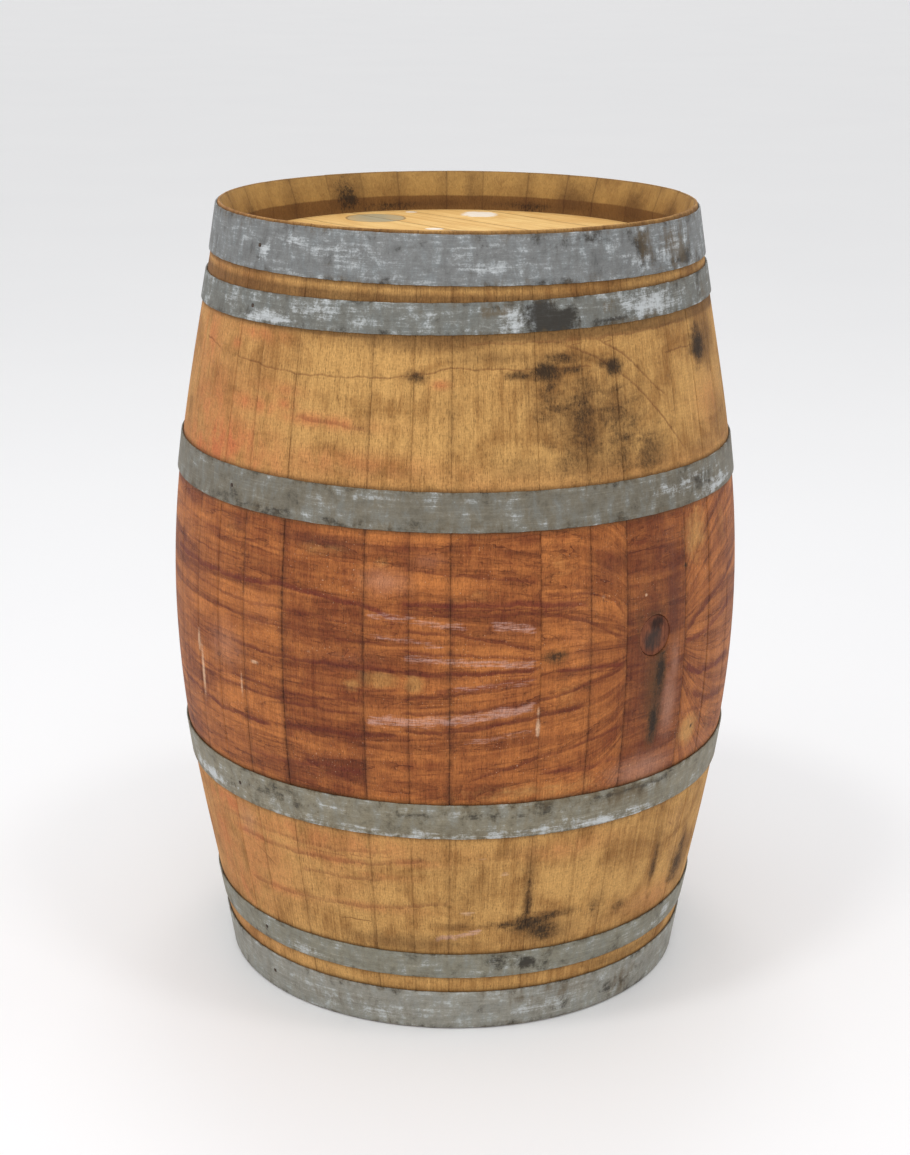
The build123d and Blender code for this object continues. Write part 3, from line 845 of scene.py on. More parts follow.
class PaintBox:
    """Short calls that build the node tree of one material."""

    def __init__(self, name, specular=0.5):
        self.material = bpy.data.materials.new(name)
        self.material.use_nodes = True
        self.tree = self.material.node_tree
        self.shader = self.tree.nodes["Principled BSDF"]
        self.shader.inputs["Specular IOR Level"].default_value = specular

    def feed(self, socket, value):
        if isinstance(value, Value):
            self.tree.links.new(value.socket, socket)
        else:
            socket.default_value = value

    def node(self, kind, inputs, output=0, **settings):
        node = self.tree.nodes.new("ShaderNode" + kind)
        for key, value in settings.items():
            setattr(node, key, value)
        for key, value in inputs.items():
            self.feed(node.inputs[key], value)
        return Value(self, node.outputs[output])

    def channels(self, vector):
        """The three parts of a vector."""
        node = self.tree.nodes.new("ShaderNodeSeparateXYZ")
        self.feed(node.inputs[0], vector)
        return [Value(self, output) for output in node.outputs]

    def layer(self, name):
        """The three parts of a point attribute."""
        return self.channels(self.node("Attribute", {}, "Vector", attribute_name=name))

    def spot(self, x, y, z=0.0):
        return self.node("CombineXYZ", {0: x, 1: y, 2: z})

    def object_position(self):
        """Place in the object's own space, in millimetres."""
        place = self.node("TexCoord", {}, "Object")
        return self.node("VectorMath", {0: place, 3: 1000.0}, operation="SCALE")

    def noise(self, vector, size, detail=2.0, roughness=0.55, distortion=0.0):
        """Noise whose lumps measure size, which is three lengths in the vector's units."""
        scaled = self.node("VectorMath", {0: vector, 1: size}, operation="DIVIDE")
        inputs = {"Vector": scaled, "Scale": 1.0, "Detail": detail, "Roughness": roughness}
        return self.node("TexNoise", {**inputs, "Distortion": distortion})

    def swing(self, reach, *noise):
        """Noise that swings to both sides of zero."""
        return (self.noise(*noise) - 0.5) * reach

    def rise(self, value, low, high):
        """Smooth step from 0 at low to 1 at high."""
        return self.node("MapRange", {"Value": value, "From Min": low, "From Max": high},
                         interpolation_type="SMOOTHSTEP")

    def mix(self, first, second, factor, blend="MIX"):
        """Colour mix."""
        return self.node("Mix", {0: factor, 6: first, 7: second}, 2, data_type="RGBA", blend_type=blend)

    def cover(self, colour, paint, value, low, high, strength):
        """Colour under a paint that sets in where value passes low and has its full strength at high."""
        return self.mix(colour, paint, self.rise(value, low, high) * strength)

    def squares(self, x, y):
        """Sum of two squares."""
        return x.math("POWER", 2.0) + y.math("POWER", 2.0)

    def distance(self, x, y):
        """Distance that two lengths at right angles span."""
        return self.squares(x, y).math("SQRT")

    def oval(self, x, y, centre, half):
        """Square of the distance from an oval's centre, which is 1 on the oval."""
        return self.squares((x - centre[0]) / half[0], (y - centre[1]) / half[1])

    def grey(self, value):
        """A number as a colour, for multiplying."""
        return self.node("CombineColor", {0: value, 1: value, 2: value})

    def dim(self, colour, value):
        """Colour multiplied by a number."""
        return self.mix(colour, self.grey(value), 1.0, "MULTIPLY")

    def finish(self, colour, roughness, height, distance):
        """Wire the surface: colour, roughness, and bump height in units of distance metres."""
        self.feed(self.shader.inputs["Base Color"], colour)
        self.feed(self.shader.inputs["Roughness"], roughness)
        bump = self.node("Bump", {"Height": height, "Distance": distance, "Strength": 1.0})
        self.feed(self.shader.inputs["Normal"], bump)
        return self.material


# ---------------------------------------------------------------- materials


# Tide marks: how far across the lumps are that their rings lie in, rings in each, and strength.
TIDES = ((40.0, 8.0, 0.55), (20.0, 4.0, 0.4), (8.0, 3.0, 0.3))
TIDE_STRETCH = 7.0


def stave_material():
    """Weathered oak, stained by wine between the bilge hoops."""
    box = PaintBox("oak_staves_paint", WOOD_SPECULAR)
    azimuth, height, depth = box.layer("place")
    tone, seam, seed = box.layer("trait")
    wine, orange, grime = box.layer("zone")
    arc = azimuth * ARC_PER_DEGREE
    along = box.spot(arc + seed * 31.0, height, depth)
    flat = box.spot(arc, height, depth)

    # Oak itself: growth lines, pores, cross flecks and slow clouds of colour.
    fibre = box.noise(along, (2.6, 170.0, 3.0), 3.0, 0.6)
    pores = box.rise(box.noise(along, (0.9, 9.0, 2.0), 2.0, 0.7), 0.54, 0.72)
    mottle = box.noise(along, (24.0, 46.0, 20.0), 5.0, 0.62, 0.5)
    cloud = box.noise(flat, (120.0, 60.0, 50.0), 4.0, 0.6, 0.8)
    fleck = box.noise(along, (7.0, 2.2, 6.0), 2.0, 0.5)
    grit = box.noise(along, (1.7, 3.2, 3.0), 3.0, 0.75)
    colour = box.mix(OAK_DARK, OAK_PALE, box.rise(mottle * 0.9 + cloud * 1.1 + fibre * 0.35, 0.84, 1.4))
    colour = box.mix(colour, OAK_ORANGE, orange * box.rise(mottle, 0.2, 0.7))

    # Wine: a stained ground, soft smears, then tide marks with one hard edge each.
    flow = box.layer("flow")[0]
    stream = box.spot(arc, flow, depth)
    smear = box.noise(stream, (190.0, 20.0, 40.0), 4.0, 0.62, 0.8)
    ground = smear * 0.6 + mottle * 0.45 + cloud * 0.35 + fibre * 0.12 + tone * 0.08
    wood = box.mix(WINE_DEEP, WINE_PALE, box.rise(ground, 0.5, 1.0))
    for across, count, strength in TIDES:
        tide = box.noise(stream, (across * TIDE_STRETCH, across, 60.0), 5.0, 0.5, 0.5)
        saw = (tide * count).math("FRACT")
        shade = box.rise(saw, 0.3, 1.0) * 0.6 + box.rise(saw, 0.93, 0.98) * 0.9
        wood = box.mix(wood, STREAK_BROWN, shade * box.rise(smear, 0.7, 0.38) * strength)
    soak, mould, bare = box.layer("spot")
    ragged = box.swing(1.5, flat, (19.0, 10.0, 9.0), 5.0, 0.7, 0.5)
    patch = bare + ragged * 0.75
    clean = box.rise(patch, 0.2, 1.0)
    colour = box.mix(colour, wood, wine * (1.0 - clean * 0.66))
    colour = box.mix(colour, STREAK_BROWN, box.rise(abs(patch - 0.32), 0.07, 0.0) * wine * 0.3)
    colour = box.cover(colour, WINE_PURPLE, soak + ragged * 0.45, 0.05, 1.3, 0.82)

    # Drawn streaks.
    offset, ink, redness = box.layer("line")
    wobble = box.swing(2.4, flat, (12.0, 5.0, 9.0), 4.0, 0.6)
    body = box.rise(abs(offset + wobble), 1.9, 1.1) * box.rise(offset + wobble, 2.6, -0.6)
    stain = box.mix(STREAK_BROWN, STREAK_RED, redness)
    colour = box.mix(colour, stain, body * ink * 0.85)

    # Dry films on top.
    residue, haze, scuff = box.layer("film")
    dust = box.noise(flat, (22.0, 2.4, 5.0), 6.0, 0.8)
    crust = residue * 0.75 + (dust - 0.5) * 3.0
    dried = box.rise(crust, 0.45, 1.1) * box.rise(residue, 0.05, 0.4)
    colour = box.mix(colour, RESIDUE_LILAC, dried * 0.62)
    colour = box.cover(colour, HAZE_PALE, haze + ragged * 0.35, 0.1, 1.5, 0.6)
    colour = box.cover(colour, SCUFF_PALE, scuff + dust, 0.85, 1.45, 0.7)

    specks = box.rise(box.noise(flat, (2.0, 2.0, 2.0), 1.0, 0.5), 0.71, 0.76)
    colour = box.mix(colour, SCUFF_PALE, specks * wine * box.rise(cloud, 0.42, 0.62) * 0.6)

    # Dirt and painted shade: grime, with painted shade along the hoop edges, mould, and wine drawn into the
    # seams.
    colour = box.cover(colour, DIRT_AND_SHADE_BROWN, grime + ragged * 0.3, 0.15, 1.2, 0.75)
    spores = box.swing(3.0, along, (3.0, 6.0, 5.0), 6.0, 0.82, 0.5)
    blooms = box.swing(2.4, flat, (34.0, 22.0, 20.0), 6.0, 0.72, 0.4)
    growth = mould + blooms * box.rise(mould, 0.0, 0.5) * 0.7
    colour = box.cover(colour, DIRT_AND_SHADE_BROWN, growth + ragged * 0.3, 0.05, 0.9, 0.6)
    rot = box.mix(MOULD_BROWN, MOULD_BLACK, box.rise(growth + spores * 0.3, 0.4, 1.2))
    colour = box.cover(colour, rot, growth + spores * 0.8, 0.4, 1.15, 0.88)
    colour = box.mix(colour, SEAM_DARK, seam * box.rise(ragged, -0.5, 0.3) * (wine * 0.55 + 0.35))
    shade = fibre * 0.42 + fleck * 0.44 + grit * 0.9 + tone * 0.03 + 0.15
    colour = box.dim(colour, shade - pores * 0.32)

    # The hidden side is raw wood, pale on the chime at each end and dark between them.
    inside = box.rise(depth, 2.4, 3.2)
    between = box.rise(abs(height - LENGTH / 2), 446.0, 442.0)
    raw = box.mix(INNER_PALE, INNER_DARK, box.rise(between * 0.8 + mottle * 0.7 + cloud * 0.7, 0.5, 1.2))
    raw = box.cover(raw, DIRT_AND_SHADE_BROWN, grime + ragged * 0.5, 0.15, 1.1, 0.75)
    raw = box.cover(raw, MOULD_BLACK, mould + spores + ragged * 0.6, 0.5, 1.1, 0.85)
    raw = box.mix(raw, SEAM_DARK, seam * 0.7)
    colour = box.mix(colour, box.dim(raw, fibre * 0.4 + grit * 0.5 + 0.55), inside)

    roughness = 0.78 - wine * 0.14 - box.rise(fibre, 0.3, 0.7) * 0.08 + haze * 0.1
    relief = fibre * 0.5 - pores * 0.45 + fleck * 0.2 + grit * 0.3
    return box.finish(colour, roughness, relief, 0.0007)


def head_material():
    """Planed oak of the heads, raw and yellow, with dull discs and chalky patches."""
    box = PaintBox("oak_heads_paint", WOOD_SPECULAR)
    across, along, seed = box.layer("place")
    grain = box.spot(across + seed * 13.0, along, seed)
    fibre = box.noise(grain, (3.4, 260.0, 3.0), 3.0, 0.6)
    pores = box.rise(box.noise(grain, (1.1, 14.0, 2.0), 2.0, 0.7), 0.58, 0.74)
    mottle = box.noise(grain, (60.0, 120.0, 30.0), 3.0, 0.6, 0.5)
    colour = box.mix(HEAD_DARK, HEAD_PALE, box.rise(fibre * 0.7 + mottle * 0.7, 0.4, 1.0))
    position = box.object_position()
    ragged = box.swing(14.0, position, (15.0, 15.0, 15.0), 4.0, 0.7)
    x, y, z = box.channels(position)
    top = box.rise(z, LENGTH / 2, LENGTH / 2 + 1)
    for place, radius in HEAD_DISCS:
        away = box.distance(x - place[0], y - place[1]) + ragged * 0.25
        disc = box.rise(away, radius, radius - 2.0) * top
        colour = box.mix(colour, DISC_GREY, disc * box.rise(mottle + fibre * 0.5, 0.3, 0.9) * 0.85)
        edge = box.rise(abs(away - radius), 2.2, 0.4) * top
        colour = box.mix(colour, SEAM_DARK, edge * 0.55)
    for place, half in CHALK_PATCHES:
        away = box.oval(x, y, place, half)
        colour = box.mix(colour, CHALK, box.rise(away + ragged * 0.12, 1.2, 0.6) * top * 0.8)
    # Darker and browner towards the rim of the head, next to the chime.
    reach = box.distance(x, y) + ragged * 0.5
    colour = box.cover(colour, DIRT_AND_SHADE_BROWN, reach, 236.0, 264.0, 0.4)
    low_edge, high_edge, _ = box.layer("span")
    joint = (across - low_edge).math("MINIMUM", high_edge - across)
    colour = box.cover(colour, SEAM_DARK, joint + fibre, 2.4, 0.6, 0.6)
    colour = box.dim(colour, fibre * 0.3 - pores * 0.15 + 0.86)
    return box.finish(colour, 0.72 - fibre * 0.1, fibre * 0.5 - pores * 0.4, 0.0005)


def hoop_material():
    """Galvanised steel gone dull, with brushed smears, zinc bloom, a painted reflection of the floor low on
    the bottom bilge hoop, and dark stains.
    """
    box = PaintBox("galvanised_hoops_paint")
    azimuth, across, seed = box.layer("place")
    dark, bloom, rust = box.layer("spot")
    red, green, blue = box.layer("tint")
    tint = box.node("CombineColor", {0: red, 1: green, 2: blue})
    flat = box.spot(azimuth * ARC_PER_DEGREE, across, seed)
    smear = box.noise(flat, (46.0, 4.0, 1.0), 6.0, 0.75, 0.2)
    cloud = box.noise(flat, (26.0, 20.0, 1.0), 8.0, 0.72, 0.3)
    film = box.noise(flat, (13.0, 30.0, 7.0), 6.0, 0.66, 0.2)
    speck = box.noise(flat, (2.6, 2.0, 1.0), 3.0, 0.7)
    scratch = box.rise(box.noise(flat, (40.0, 0.9, 1.0), 2.0, 0.5), 0.62, 0.72)
    blotch = (cloud - 0.5) * 3.4
    veil = (film - 0.5) * 3.0
    brushed = (smear - 0.5) * 3.0
    grit = (speck - 0.5) * 3.0
    colour = box.mix(tint, ZINC_BLUE, box.rise(veil + blotch * 0.4, -0.25, 0.6) * 0.35)
    clouds = brushed * 0.26 + blotch * 0.42 + veil * 0.26 + grit * 0.2 + 1.0
    colour = box.dim(colour, clouds.math("MAXIMUM", 0.3))
    # Whiter where zinc bloom lies, and low on the bottom bilge hoop as a painted reflection of the floor.
    white = bloom + brushed * 0.9 + blotch * 0.9 + veil * 0.6 + grit * 0.4
    colour = box.cover(colour, BLOOM_AND_REFLECTION_WHITE, white, 0.4, 1.4, 0.8)
    stain = dark - blotch * 0.9 + brushed * 0.5 - veil * 0.5 + grit * 0.3
    colour = box.cover(colour, STAIN_BLACK, stain, 0.35, 1.2, 0.9)
    colour = box.cover(colour, RUST_BROWN, rust - veil * 0.9 - brushed * 0.5, 0.3, 1.2, 0.6)
    colour = box.cover(colour, STAIN_BLACK, speck, 0.62, 0.72, 0.4)
    colour = box.dim(colour, 1.0 + scratch * 0.3)
    box.shader.inputs["Metallic"].default_value = 0.3
    roughness = 0.5 + cloud * 0.22 - scratch * 0.08
    return box.finish(colour, roughness, cloud * 0.8 + speck * 0.3 - scratch * 0.15, 0.0004)


def fastener_material(name, pale, dark, metallic):
    """Small steel heads, mottled by weather."""
    box = PaintBox(name)
    position = box.object_position()
    mottle = box.noise(position, (2.5, 2.5, 2.5), 4.0, 0.7)
    pits = box.noise(position, (0.8, 0.8, 0.8), 2.0, 0.6)
    box.shader.inputs["Metallic"].default_value = metallic
    colour = box.mix(dark, pale, box.rise(mottle, 0.3, 0.7))
    return box.finish(colour, 0.5 + mottle * 0.3, mottle * 0.6 + pits * 0.4, 0.0003)


def dowel_material():
    """Turned oak pins."""
    box = PaintBox("dowel_wood_paint", WOOD_SPECULAR)
    position = box.object_position()
    grain = box.noise(position, (40.0, 1.5, 1.5), 3.0, 0.6)
    colour = box.mix(DOWEL_DARK, DOWEL_PALE, grain)
    return box.finish(colour, 0.7 - grain * 0.1, grain, 0.0003)


def bung_material():
    """Wooden bung, soaked dark, with a wet black stain low on its face, and a black stain with painted shadow
    across its top under the hole's upper lip.
    """
    box = PaintBox("bung_wood_paint", WOOD_SPECULAR)
    across, up, depth = box.layer("place")
    grain = box.spot(across, up, depth)
    fibre = box.noise(grain, (1.6, 60.0, 8.0), 3.0, 0.65)
    cloud = box.noise(grain, (9.0, 14.0, 12.0), 4.0, 0.7)
    colour = box.mix(BUNG_DARK, BUNG_PALE, box.rise(fibre * 0.6 + cloud, 0.5, 1.1))
    # Across the top of the face: a black stain with painted shadow, where the hole's upper lip shades it.
    head = box.oval(across, up, (3.0, 14.0), (11.0, 9.0))
    colour = box.cover(colour, BUNG_STAIN_AND_SHADOW_BLACK, head + cloud * 2.2, 2.7, 1.2, 0.85)
    pool = box.oval(across, up, (-1.0, -4.0), (15.0, 13.0))
    colour = box.cover(colour, BUNG_POOL, pool + cloud * 2.4, 3.0, 1.2, 0.75)
    return box.finish(colour, 0.74 - box.rise(pool, 1.4, 0.6) * 0.1, fibre * 0.8 + cloud * 0.4, 0.0008)


# ---------------------------------------------------------------- hoops

HOOP_THICKNESS = 2.0
HOOP_CLEARANCE = 0.2
LAP_ANGLE = 20.0
LAP_RISE_ANGLE = 6.0
STRIP_STEP = 1.0
EDGE_ROUND = 0.7
LAP_SLACK = 0.8
LAP_AIR = 0.06
DENT_DEPTH = 0.1
DENT_WAVE = 75
DENT_SEED = 20
RIPPLE_HEIGHT = 0.3
RIPPLE_WAVE = 46
RIPPLE_SEED = 30
RIM_WAVE = 260
RIM_SEED = 50
RIM_FADE = 4.5
BOX_MARGIN = 0.02

# Marks on hoops by kind, in the manner of BLOTS.
HOOP_MARKS = {
    # Grease, and the dirt round nail heads.
    "dark": [
        (17.5, 862, 20, 26, 1.8), (22, 850, 28, 14, 1.7), (33, 846, 30, 5, 1.2), (44, 920, 12, 30, 1.1),
        (60, 904, 46, 10, 1.1), (30, 936, 60, 6, 0.8), (15, 92, 40, 12, 1.1), (9, 100, 16, 10, 0.9),
        (8, 868, 26, 4, 0.8), (67, 862, 16, 16, 0.9), (-48.5, 858, 7, 6, 0.9), (-48.5, 910, 6, 8, 0.9),
        (-48.5, 650, 7, 6, 0.8), (-48.5, 290, 7, 6, 0.9), (-48.5, 90, 6, 6, 0.9), (44, 24, 60, 12, 0.7),
        (40, 304, 90, 8, 0.9), (57, 650, 34, 10, 0.9), (-30, 636, 160, 6, 0.8), (0, 298, 160, 8, 0.7),
        (-40, 292, 120, 12, 0.6), (27, 22, 14, 8, 0.9), (150, 900, 60, 14, 0.6), (245, 290, 50, 14, 0.6),
        (100, 40, 40, 14, 0.6),
    ],
    # White zinc bloom; the bands at heights 271 to 278, along the lower edge of the bottom bilge hoop, are a
    # painted reflection of the floor.
    "bloom": [
        (45, 858, 70, 20, 0.95), (12, 855, 26, 16, 0.9), (-44, 848, 46, 6, 1.4), (-30, 862, 60, 12, 0.7),
        (-47, 916, 12, 7, 1.4), (-38, 930, 26, 6, 1.0), (-25, 922, 60, 16, 0.7), (-62, 278, 60, 7, 1.3),
        (0, 271, 300, 5, 1.0), (30, 272, 120, 9, 1.0), (-20, 22, 110, 16, 0.6), (-36, 82, 40, 5, 1.0),
        (55, 925, 50, 16, 0.7), (5, 925, 70, 16, 0.45), (50, 656, 60, 12, 0.9), (64, 640, 40, 8, 1.1),
        (-10, 668, 200, 5, 0.35), (5, 908, 60, 5, 0.9), (45, 910, 60, 6, 0.8), (58, 88, 50, 12, 0.7),
        (22, 20, 50, 14, 0.7), (120, 865, 90, 12, 0.5), (250, 915, 90, 14, 0.5), (190, 30, 90, 16, 0.5),
    ],
    # Rust and olive stains.
    "rust": [
        (25, 40, 80, 12, 0.8), (46, 20, 30, 26, 0.9), (0, 635, 300, 6, 0.6), (20, 308, 200, 5, 0.9),
        (38, 297, 60, 12, 0.9), (58, 918, 40, 30, 1.0), (45, 922, 16, 30, 1.0), (8, 866, 22, 6, 1.1),
        (40, 843, 70, 5, 0.9), (33, 862, 8, 6, 1.0), (70, 850, 40, 20, 0.7), (133, 652, 14, 14, 0.6),
        (-66, 90, 40, 16, 0.5), (-30, 24, 90, 10, 0.5), (200, 860, 50, 12, 0.5), (170, 100, 60, 12, 0.5),
    ],
}


def strip_section(width):
    """Rounded section of the strip as (distance from the middle line, distance outward)."""
    half, round_off = width / 2, EDGE_ROUND
    outer = [(v, HOOP_THICKNESS) for v in np.linspace(-half + round_off, half - round_off, 7)]
    corner = [(half - round_off * (1 - sin(a)), HOOP_THICKNESS - round_off * (1 - cos(a)))
              for a in (radians(35), radians(65))]
    inner_corner = [(half, round_off * 0.6), (half - 0.3, 0.1), (half - round_off, 0.0)]
    right = corner + [(half, HOOP_THICKNESS - round_off)] + inner_corner
    left = [(-v, n) for v, n in right[::-1]]
    return outer + right + left


def make_hoop(node, index, material):
    """A strip bent into a cone and lapped over its own end."""
    lean, lap, tint, bloom = HOOPS[node]
    low, high = (corner.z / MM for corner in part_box(node))
    middle = (low + high) / 2
    climb = tan(radians(lean)) * float(shell_radius(middle))
    width = high - low - 2 * abs(climb)
    levels = np.linspace(low, high, 13)
    slope = float(shell_radius(high) - shell_radius(low)) / (high - low)
    bulge = float(np.max(shell_radius(levels) - shell_radius(low) - slope * (levels - low)))
    base = float(shell_radius(low)) + bulge + HOOP_CLEARANCE

    section = strip_section(width)
    begin, end = lap - LAP_ANGLE + LAP_RISE_ANGLE + LAP_SLACK, lap + TURN
    at = steps(begin, end, STRIP_STEP)
    raised = (HOOP_THICKNESS + LAP_AIR) * ramp(at, end - LAP_ANGLE, end - LAP_ANGLE + LAP_RISE_ANGLE)
    azimuth, level = np.meshgrid(at, [v for v, _ in section], indexing="ij")
    outward = np.array([n for _, n in section])[None, :] + raised[:, None]
    dent = DENT_DEPTH * wander(azimuth * ARC_PER_DEGREE, DENT_WAVE, DENT_SEED + index) * np.sign(outward)
    edge = np.abs(level) > width / 2 - EDGE_ROUND - 0.01
    ripple = RIPPLE_HEIGHT * wander(azimuth * ARC_PER_DEGREE, RIPPLE_WAVE, RIPPLE_SEED + index)
    ripple = ripple * edge * np.sign(level)
    shrink = 1 - 0.35 / width
    height = middle + climb * np.sin(np.radians(azimuth)) + level * shrink + ripple
    height = height - 0.1 * edge * np.sign(level)
    height = np.clip(height, low + BOX_MARGIN, high - BOX_MARGIN)
    radius = base + slope * (height - low) + outward + np.minimum(dent, 0)

    # The strip's ends are cut square with a little wear.
    skin = Skin()
    wrapped = (azimuth + TURN / 2) % TURN - TURN / 2
    grid = skin.add(ring_point(radius, azimuth, height), np.stack([wrapped, level, azimuth], -1))
    loop = np.concatenate([grid, grid[:, :1]], 1)
    skin.quads(loop)
    skin.faces += [tuple(grid[0]), tuple(grid[-1][::-1])]

    wrapped, level, azimuth = np.concatenate(skin.places).T
    height = middle + level
    field = {kind: np.zeros(len(level)) for kind in HOOP_MARKS}
    field["bloom"] += bloom
    add_blots(field, HOOP_MARKS, lambda at: (wrapped - at + TURN / 2) % TURN - TURN / 2, height)
    uneven = 0.75 + 0.35 * wander(wrapped * ARC_PER_DEGREE, RIM_WAVE, RIM_SEED + index)
    rim = np.exp(-(width / 2 - np.abs(level)) / RIM_FADE) * uneven
    field["dark"] = np.maximum(field["dark"], 0.62 * rim)
    field["rust"] = np.maximum(field["rust"], 0.7 * rim)
    ones = np.ones(len(level))
    attributes = {
        "place": np.stack([azimuth, level, ones * index * 9.7], -1),
        "spot": np.stack([field["dark"], field["bloom"], field["rust"]], -1),
        "tint": np.stack([ones * part for part in tint[:3]], -1),
    }
    return skin.build(node + "_looks", material, attributes)


# ---------------------------------------------------------------- heads

HEAD_TURNS = {"top": 41.0, "bottom": 38.0}
BOARD_BEVEL = 0.9


def make_board(node, index, material):
    """A head board with its edges eased, from the flat faces of its CAD solid."""
    source = NODES[node].data
    shape = bmesh.new()
    shape.from_mesh(source)
    bmesh.ops.remove_doubles(shape, verts=shape.verts, dist=1e-6)
    bmesh.ops.dissolve_limit(shape, angle_limit=radians(0.5), verts=shape.verts, edges=shape.edges)
    sharp = [edge for edge in shape.edges if edge.is_manifold and edge.calc_face_angle() > radians(40)]
    bmesh.ops.bevel(shape, geom=sharp, offset=BOARD_BEVEL * MM, segments=2, affect="EDGES", profile=0.6)
    mesh = bpy.data.meshes.new(node + "_looks")
    shape.to_mesh(mesh)
    shape.free()
    for stray in [layer.name for layer in mesh.attributes if layer.name == "custom_normal"]:
        mesh.attributes.remove(mesh.attributes[stray])
    end = "top" if node.startswith("top") else "bottom"
    points = np.zeros(len(mesh.vertices) * 3)
    mesh.vertices.foreach_get("co", points)
    x, y, _ = points.reshape(-1, 3).T / MM
    angle = radians(HEAD_TURNS[end])
    across, along = x * cos(angle) + y * sin(angle), y * cos(angle) - x * sin(angle)
    ones = np.ones_like(x)
    attributes = {
        "place": np.stack([across, along, ones * index * 3.3], -1),
        "span": np.stack([ones * across.min(), ones * across.max(), ones], -1),
    }
    return finish_mesh(node + "_looks", mesh, material, attributes)


# ---------------------------------------------------------------- bung

BUNG_RECESS = 1.5
BUNG_DEPTH = 34.0
BUNG_CLEARANCE = 0.35
BUNG_SPOKES = 72

# Worn rim of the bung's face as (distance in from the wall, depth), then the depths of its wall's rings.
BUNG_RIM = ((0.35, 0.35), (0.15, 0.6), (0.04, 1.2), (0.0, 2.4))
BUNG_WALL_DEPTHS = (8.0, 16.0, 24.0, BUNG_DEPTH - 1.5)


def make_bung(material):
    """Tapered bung with a hammered face."""
    taper = (HOLE_OUTER_RADIUS - HOLE_INNER_RADIUS) / STAVE_THICKNESS
    outward = Vector(ring_point(1.0, BUNG_AZIMUTH, 0.0))
    side = outward.cross(Vector((0, 0, -1)))
    centre = np.array(outward) * float(shell_radius(BUNG_HEIGHT)) + np.array([0, 0, BUNG_HEIGHT])
    spokes = np.radians(np.arange(BUNG_SPOKES) * TURN / BUNG_SPOKES)
    worn = np.abs(0.05 * np.sin(spokes * 5 + 1) + 0.04 * np.sin(spokes * 11))
    flat = np.ones(BUNG_SPOKES)
    skin = Skin()
    loops = []

    def add_loop(radius, depth):
        across, up = (radius - worn) * np.sin(spokes), (radius - worn) * np.cos(spokes)
        points = centre + across[:, None] * np.array(side) + up[:, None] * np.array([0, 0, 1])
        points = points - depth[:, None] * np.array(outward)
        loops.append(skin.add(points, np.stack([across, up, depth], -1)))

    def wall(depth):
        return HOLE_OUTER_RADIUS - taper * depth - BUNG_CLEARANCE

    for share in np.linspace(0.08, 0.94, 10):
        blows = 0.22 * np.sin(spokes * 3 + share * 5) * share + 0.12 * np.sin(spokes * 7 + share * 17) * share
        add_loop(share * (wall(BUNG_RECESS) - 0.6), BUNG_RECESS + 0.4 + blows - 0.35 * share * flat)
    for inset, drop in BUNG_RIM:
        add_loop(wall(BUNG_RECESS + drop) - inset, (BUNG_RECESS + drop) * flat)
    for depth in BUNG_WALL_DEPTHS:
        add_loop(wall(depth), depth * flat)
    add_loop(wall(BUNG_DEPTH) - 1.0, (BUNG_DEPTH - 0.05) * flat)
    closed = np.array([np.append(loop, loop[0]) for loop in loops])
    skin.quads(closed)
    skin.faces += [tuple(loops[0]), tuple(loops[-1][::-1])]
    return skin.build("bung_looks", material, {"place": np.concatenate(skin.places)})


# ---------------------------------------------------------------- the barrel


def settle(piece, body, node):
    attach(piece, body)
    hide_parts(node)


def dress(node, material):
    """Give a CAD node that stays its own material."""
    mesh = NODES[node].data
    mesh.materials.clear()
    mesh.materials.append(material)


def build_barrel():
    staves = sorted(node for node in NODES if node.startswith("stave_") or node == "bung_stave")
    oak, heads, steel = stave_material(), head_material(), hoop_material()
    for index, node in enumerate(staves):
        settle(make_stave(node, index, oak), "cask", node)
    for index, node in enumerate(HOOPS):
        settle(make_hoop(node, index, steel), "cask", node)
    boards = sorted(node for node in NODES if "head_board" in node)
    for index, node in enumerate(boards):
        settle(make_board(node, index, heads), "cask", node)
    settle(make_bung(bung_material()), "bung", "bung")
    dress("hoop_rivets", fastener_material("rivet_steel_paint", RIVET_PALE, RIVET_DARK, 0.4))
    dress("hoop_nails", fastener_material("nail_steel_paint", NAIL_PALE, NAIL_DARK, 0.2))
    pins = dowel_material()
    dress("top_head_dowels", pins)
    dress("bottom_head_dowels", pins)


# ---------------------------------------------------------------- studio

FLOOR_HALF = 400.0
FLOOR_PALE = (0.93, 0.93, 0.94, 1.0)
FLOOR_DARK = (0.90, 0.90, 0.915, 1.0)
AIR_STRENGTH = 0.83

# Lamps: name, place, target, size and power, in metres and watts.
BARREL_MIDDLE = (0, 0, 0.45)
LAMPS = [
    ("back_top", (0.0, 1.3, 4.4), BARREL_MIDDLE, 0.8, 14),
    ("left_top", (-1.1, -1.2, 4.4), BARREL_MIDDLE, 0.5, 26),
    ("right_top", (1.0, -0.9, 4.4), BARREL_MIDDLE, 0.5, 18),
    ("left_fill", (-3.0, -2.4, 2.2), BARREL_MIDDLE, 2.2, 14),
    ("front_fill", (0.3, -3.6, 2.8), (0, -0.4, 0.1), 1.6, 13),
]

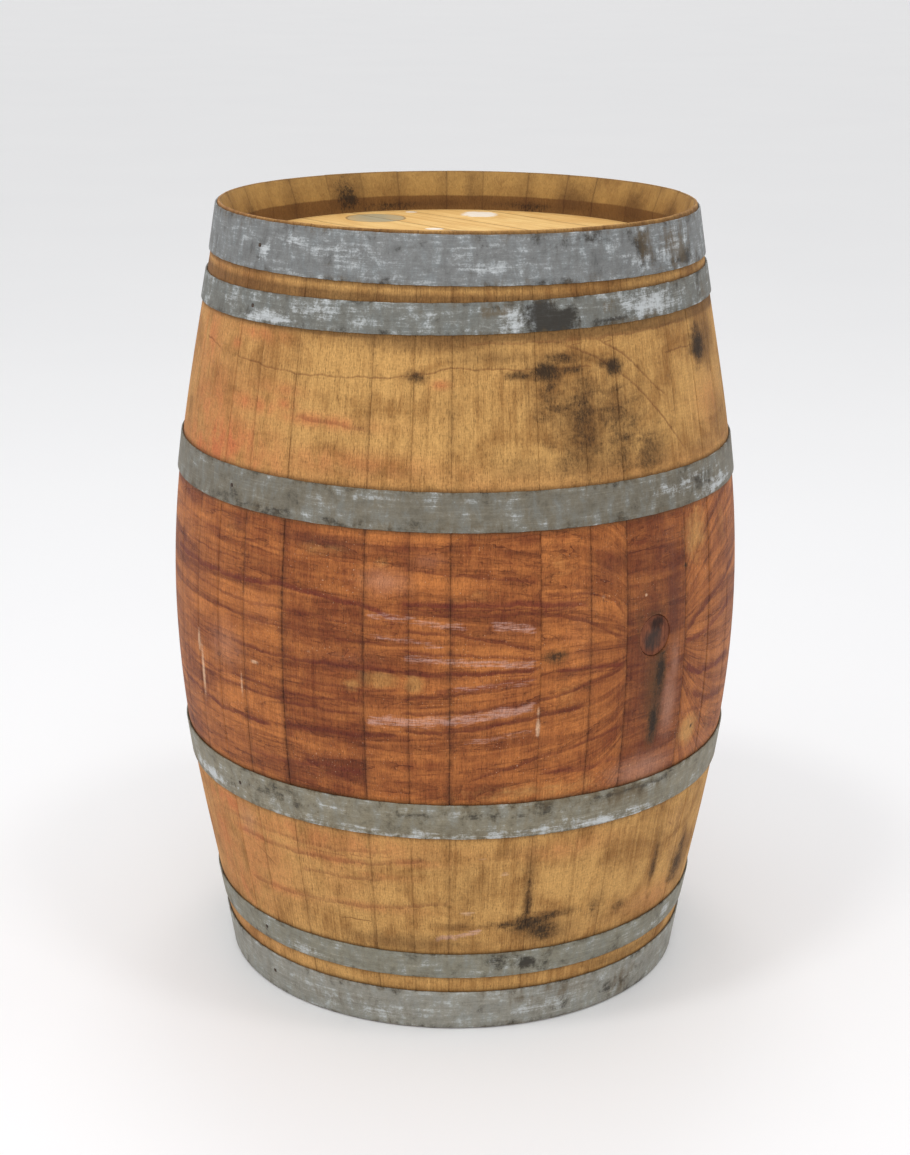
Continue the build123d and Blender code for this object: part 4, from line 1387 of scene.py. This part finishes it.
# Camera: angles in degrees, lens and sensor in millimetres.
CAMERA_PLACE = (0.0, -2.537, 1.265)
CAMERA_PITCH = 17.28
CAMERA_ROLL = 0.384
CAMERA_LENS = 65.8
SENSOR = 36.0


def make_floor():
    """Wide pale floor that also fills the background."""
    mesh = bpy.data.meshes.new("floor")
    shape = bmesh.new()
    bmesh.ops.create_grid(shape, x_segments=8, y_segments=8, size=FLOOR_HALF)
    shape.to_mesh(mesh)
    shape.free()
    box = PaintBox("floor_paint")
    position = box.object_position()
    patchy = box.noise(position, (900.0, 900.0, 900.0), 2.0, 0.5)
    colour = box.mix(FLOOR_DARK, FLOOR_PALE, patchy)
    box.feed(box.shader.inputs["Base Color"], colour)
    mesh.materials.append(box.material)
    floor = bpy.data.objects.new("floor", mesh)
    bpy.context.scene.collection.objects.link(floor)


def add_lamp(name, place, target, size, power):
    """Soft square lamp that looks at a point."""
    data = bpy.data.lights.new(name, "AREA")
    data.shape = "SQUARE"
    data.size = size
    data.energy = power
    lamp = bpy.data.objects.new(name, data)
    lamp.location = place
    lamp.rotation_euler = (Vector(target) - Vector(place)).to_track_quat("-Z", "Y").to_euler()
    bpy.context.scene.collection.objects.link(lamp)


def make_studio():
    make_floor()
    scene = bpy.context.scene
    scene.view_settings.view_transform = "Standard"
    world = bpy.data.worlds.new("studio_air")
    world.use_nodes = True
    air = world.node_tree.nodes["Background"]
    air.inputs["Color"].default_value = (1.0, 1.0, 1.0, 1.0)
    air.inputs["Strength"].default_value = AIR_STRENGTH
    scene.world = world
    for lamp in LAMPS:
        add_lamp(*lamp)

    data = bpy.data.cameras.new("camera")
    data.lens = CAMERA_LENS
    data.sensor_width = SENSOR
    camera = bpy.data.objects.new("camera", data)
    tilt = Matrix.Rotation(radians(90 - CAMERA_PITCH), 4, "X")
    roll = Matrix.Rotation(radians(CAMERA_ROLL), 4, "Z")
    camera.matrix_world = Matrix.Translation(CAMERA_PLACE) @ tilt @ roll
    scene.collection.objects.link(camera)
    scene.camera = camera


build_barrel()
make_studio()
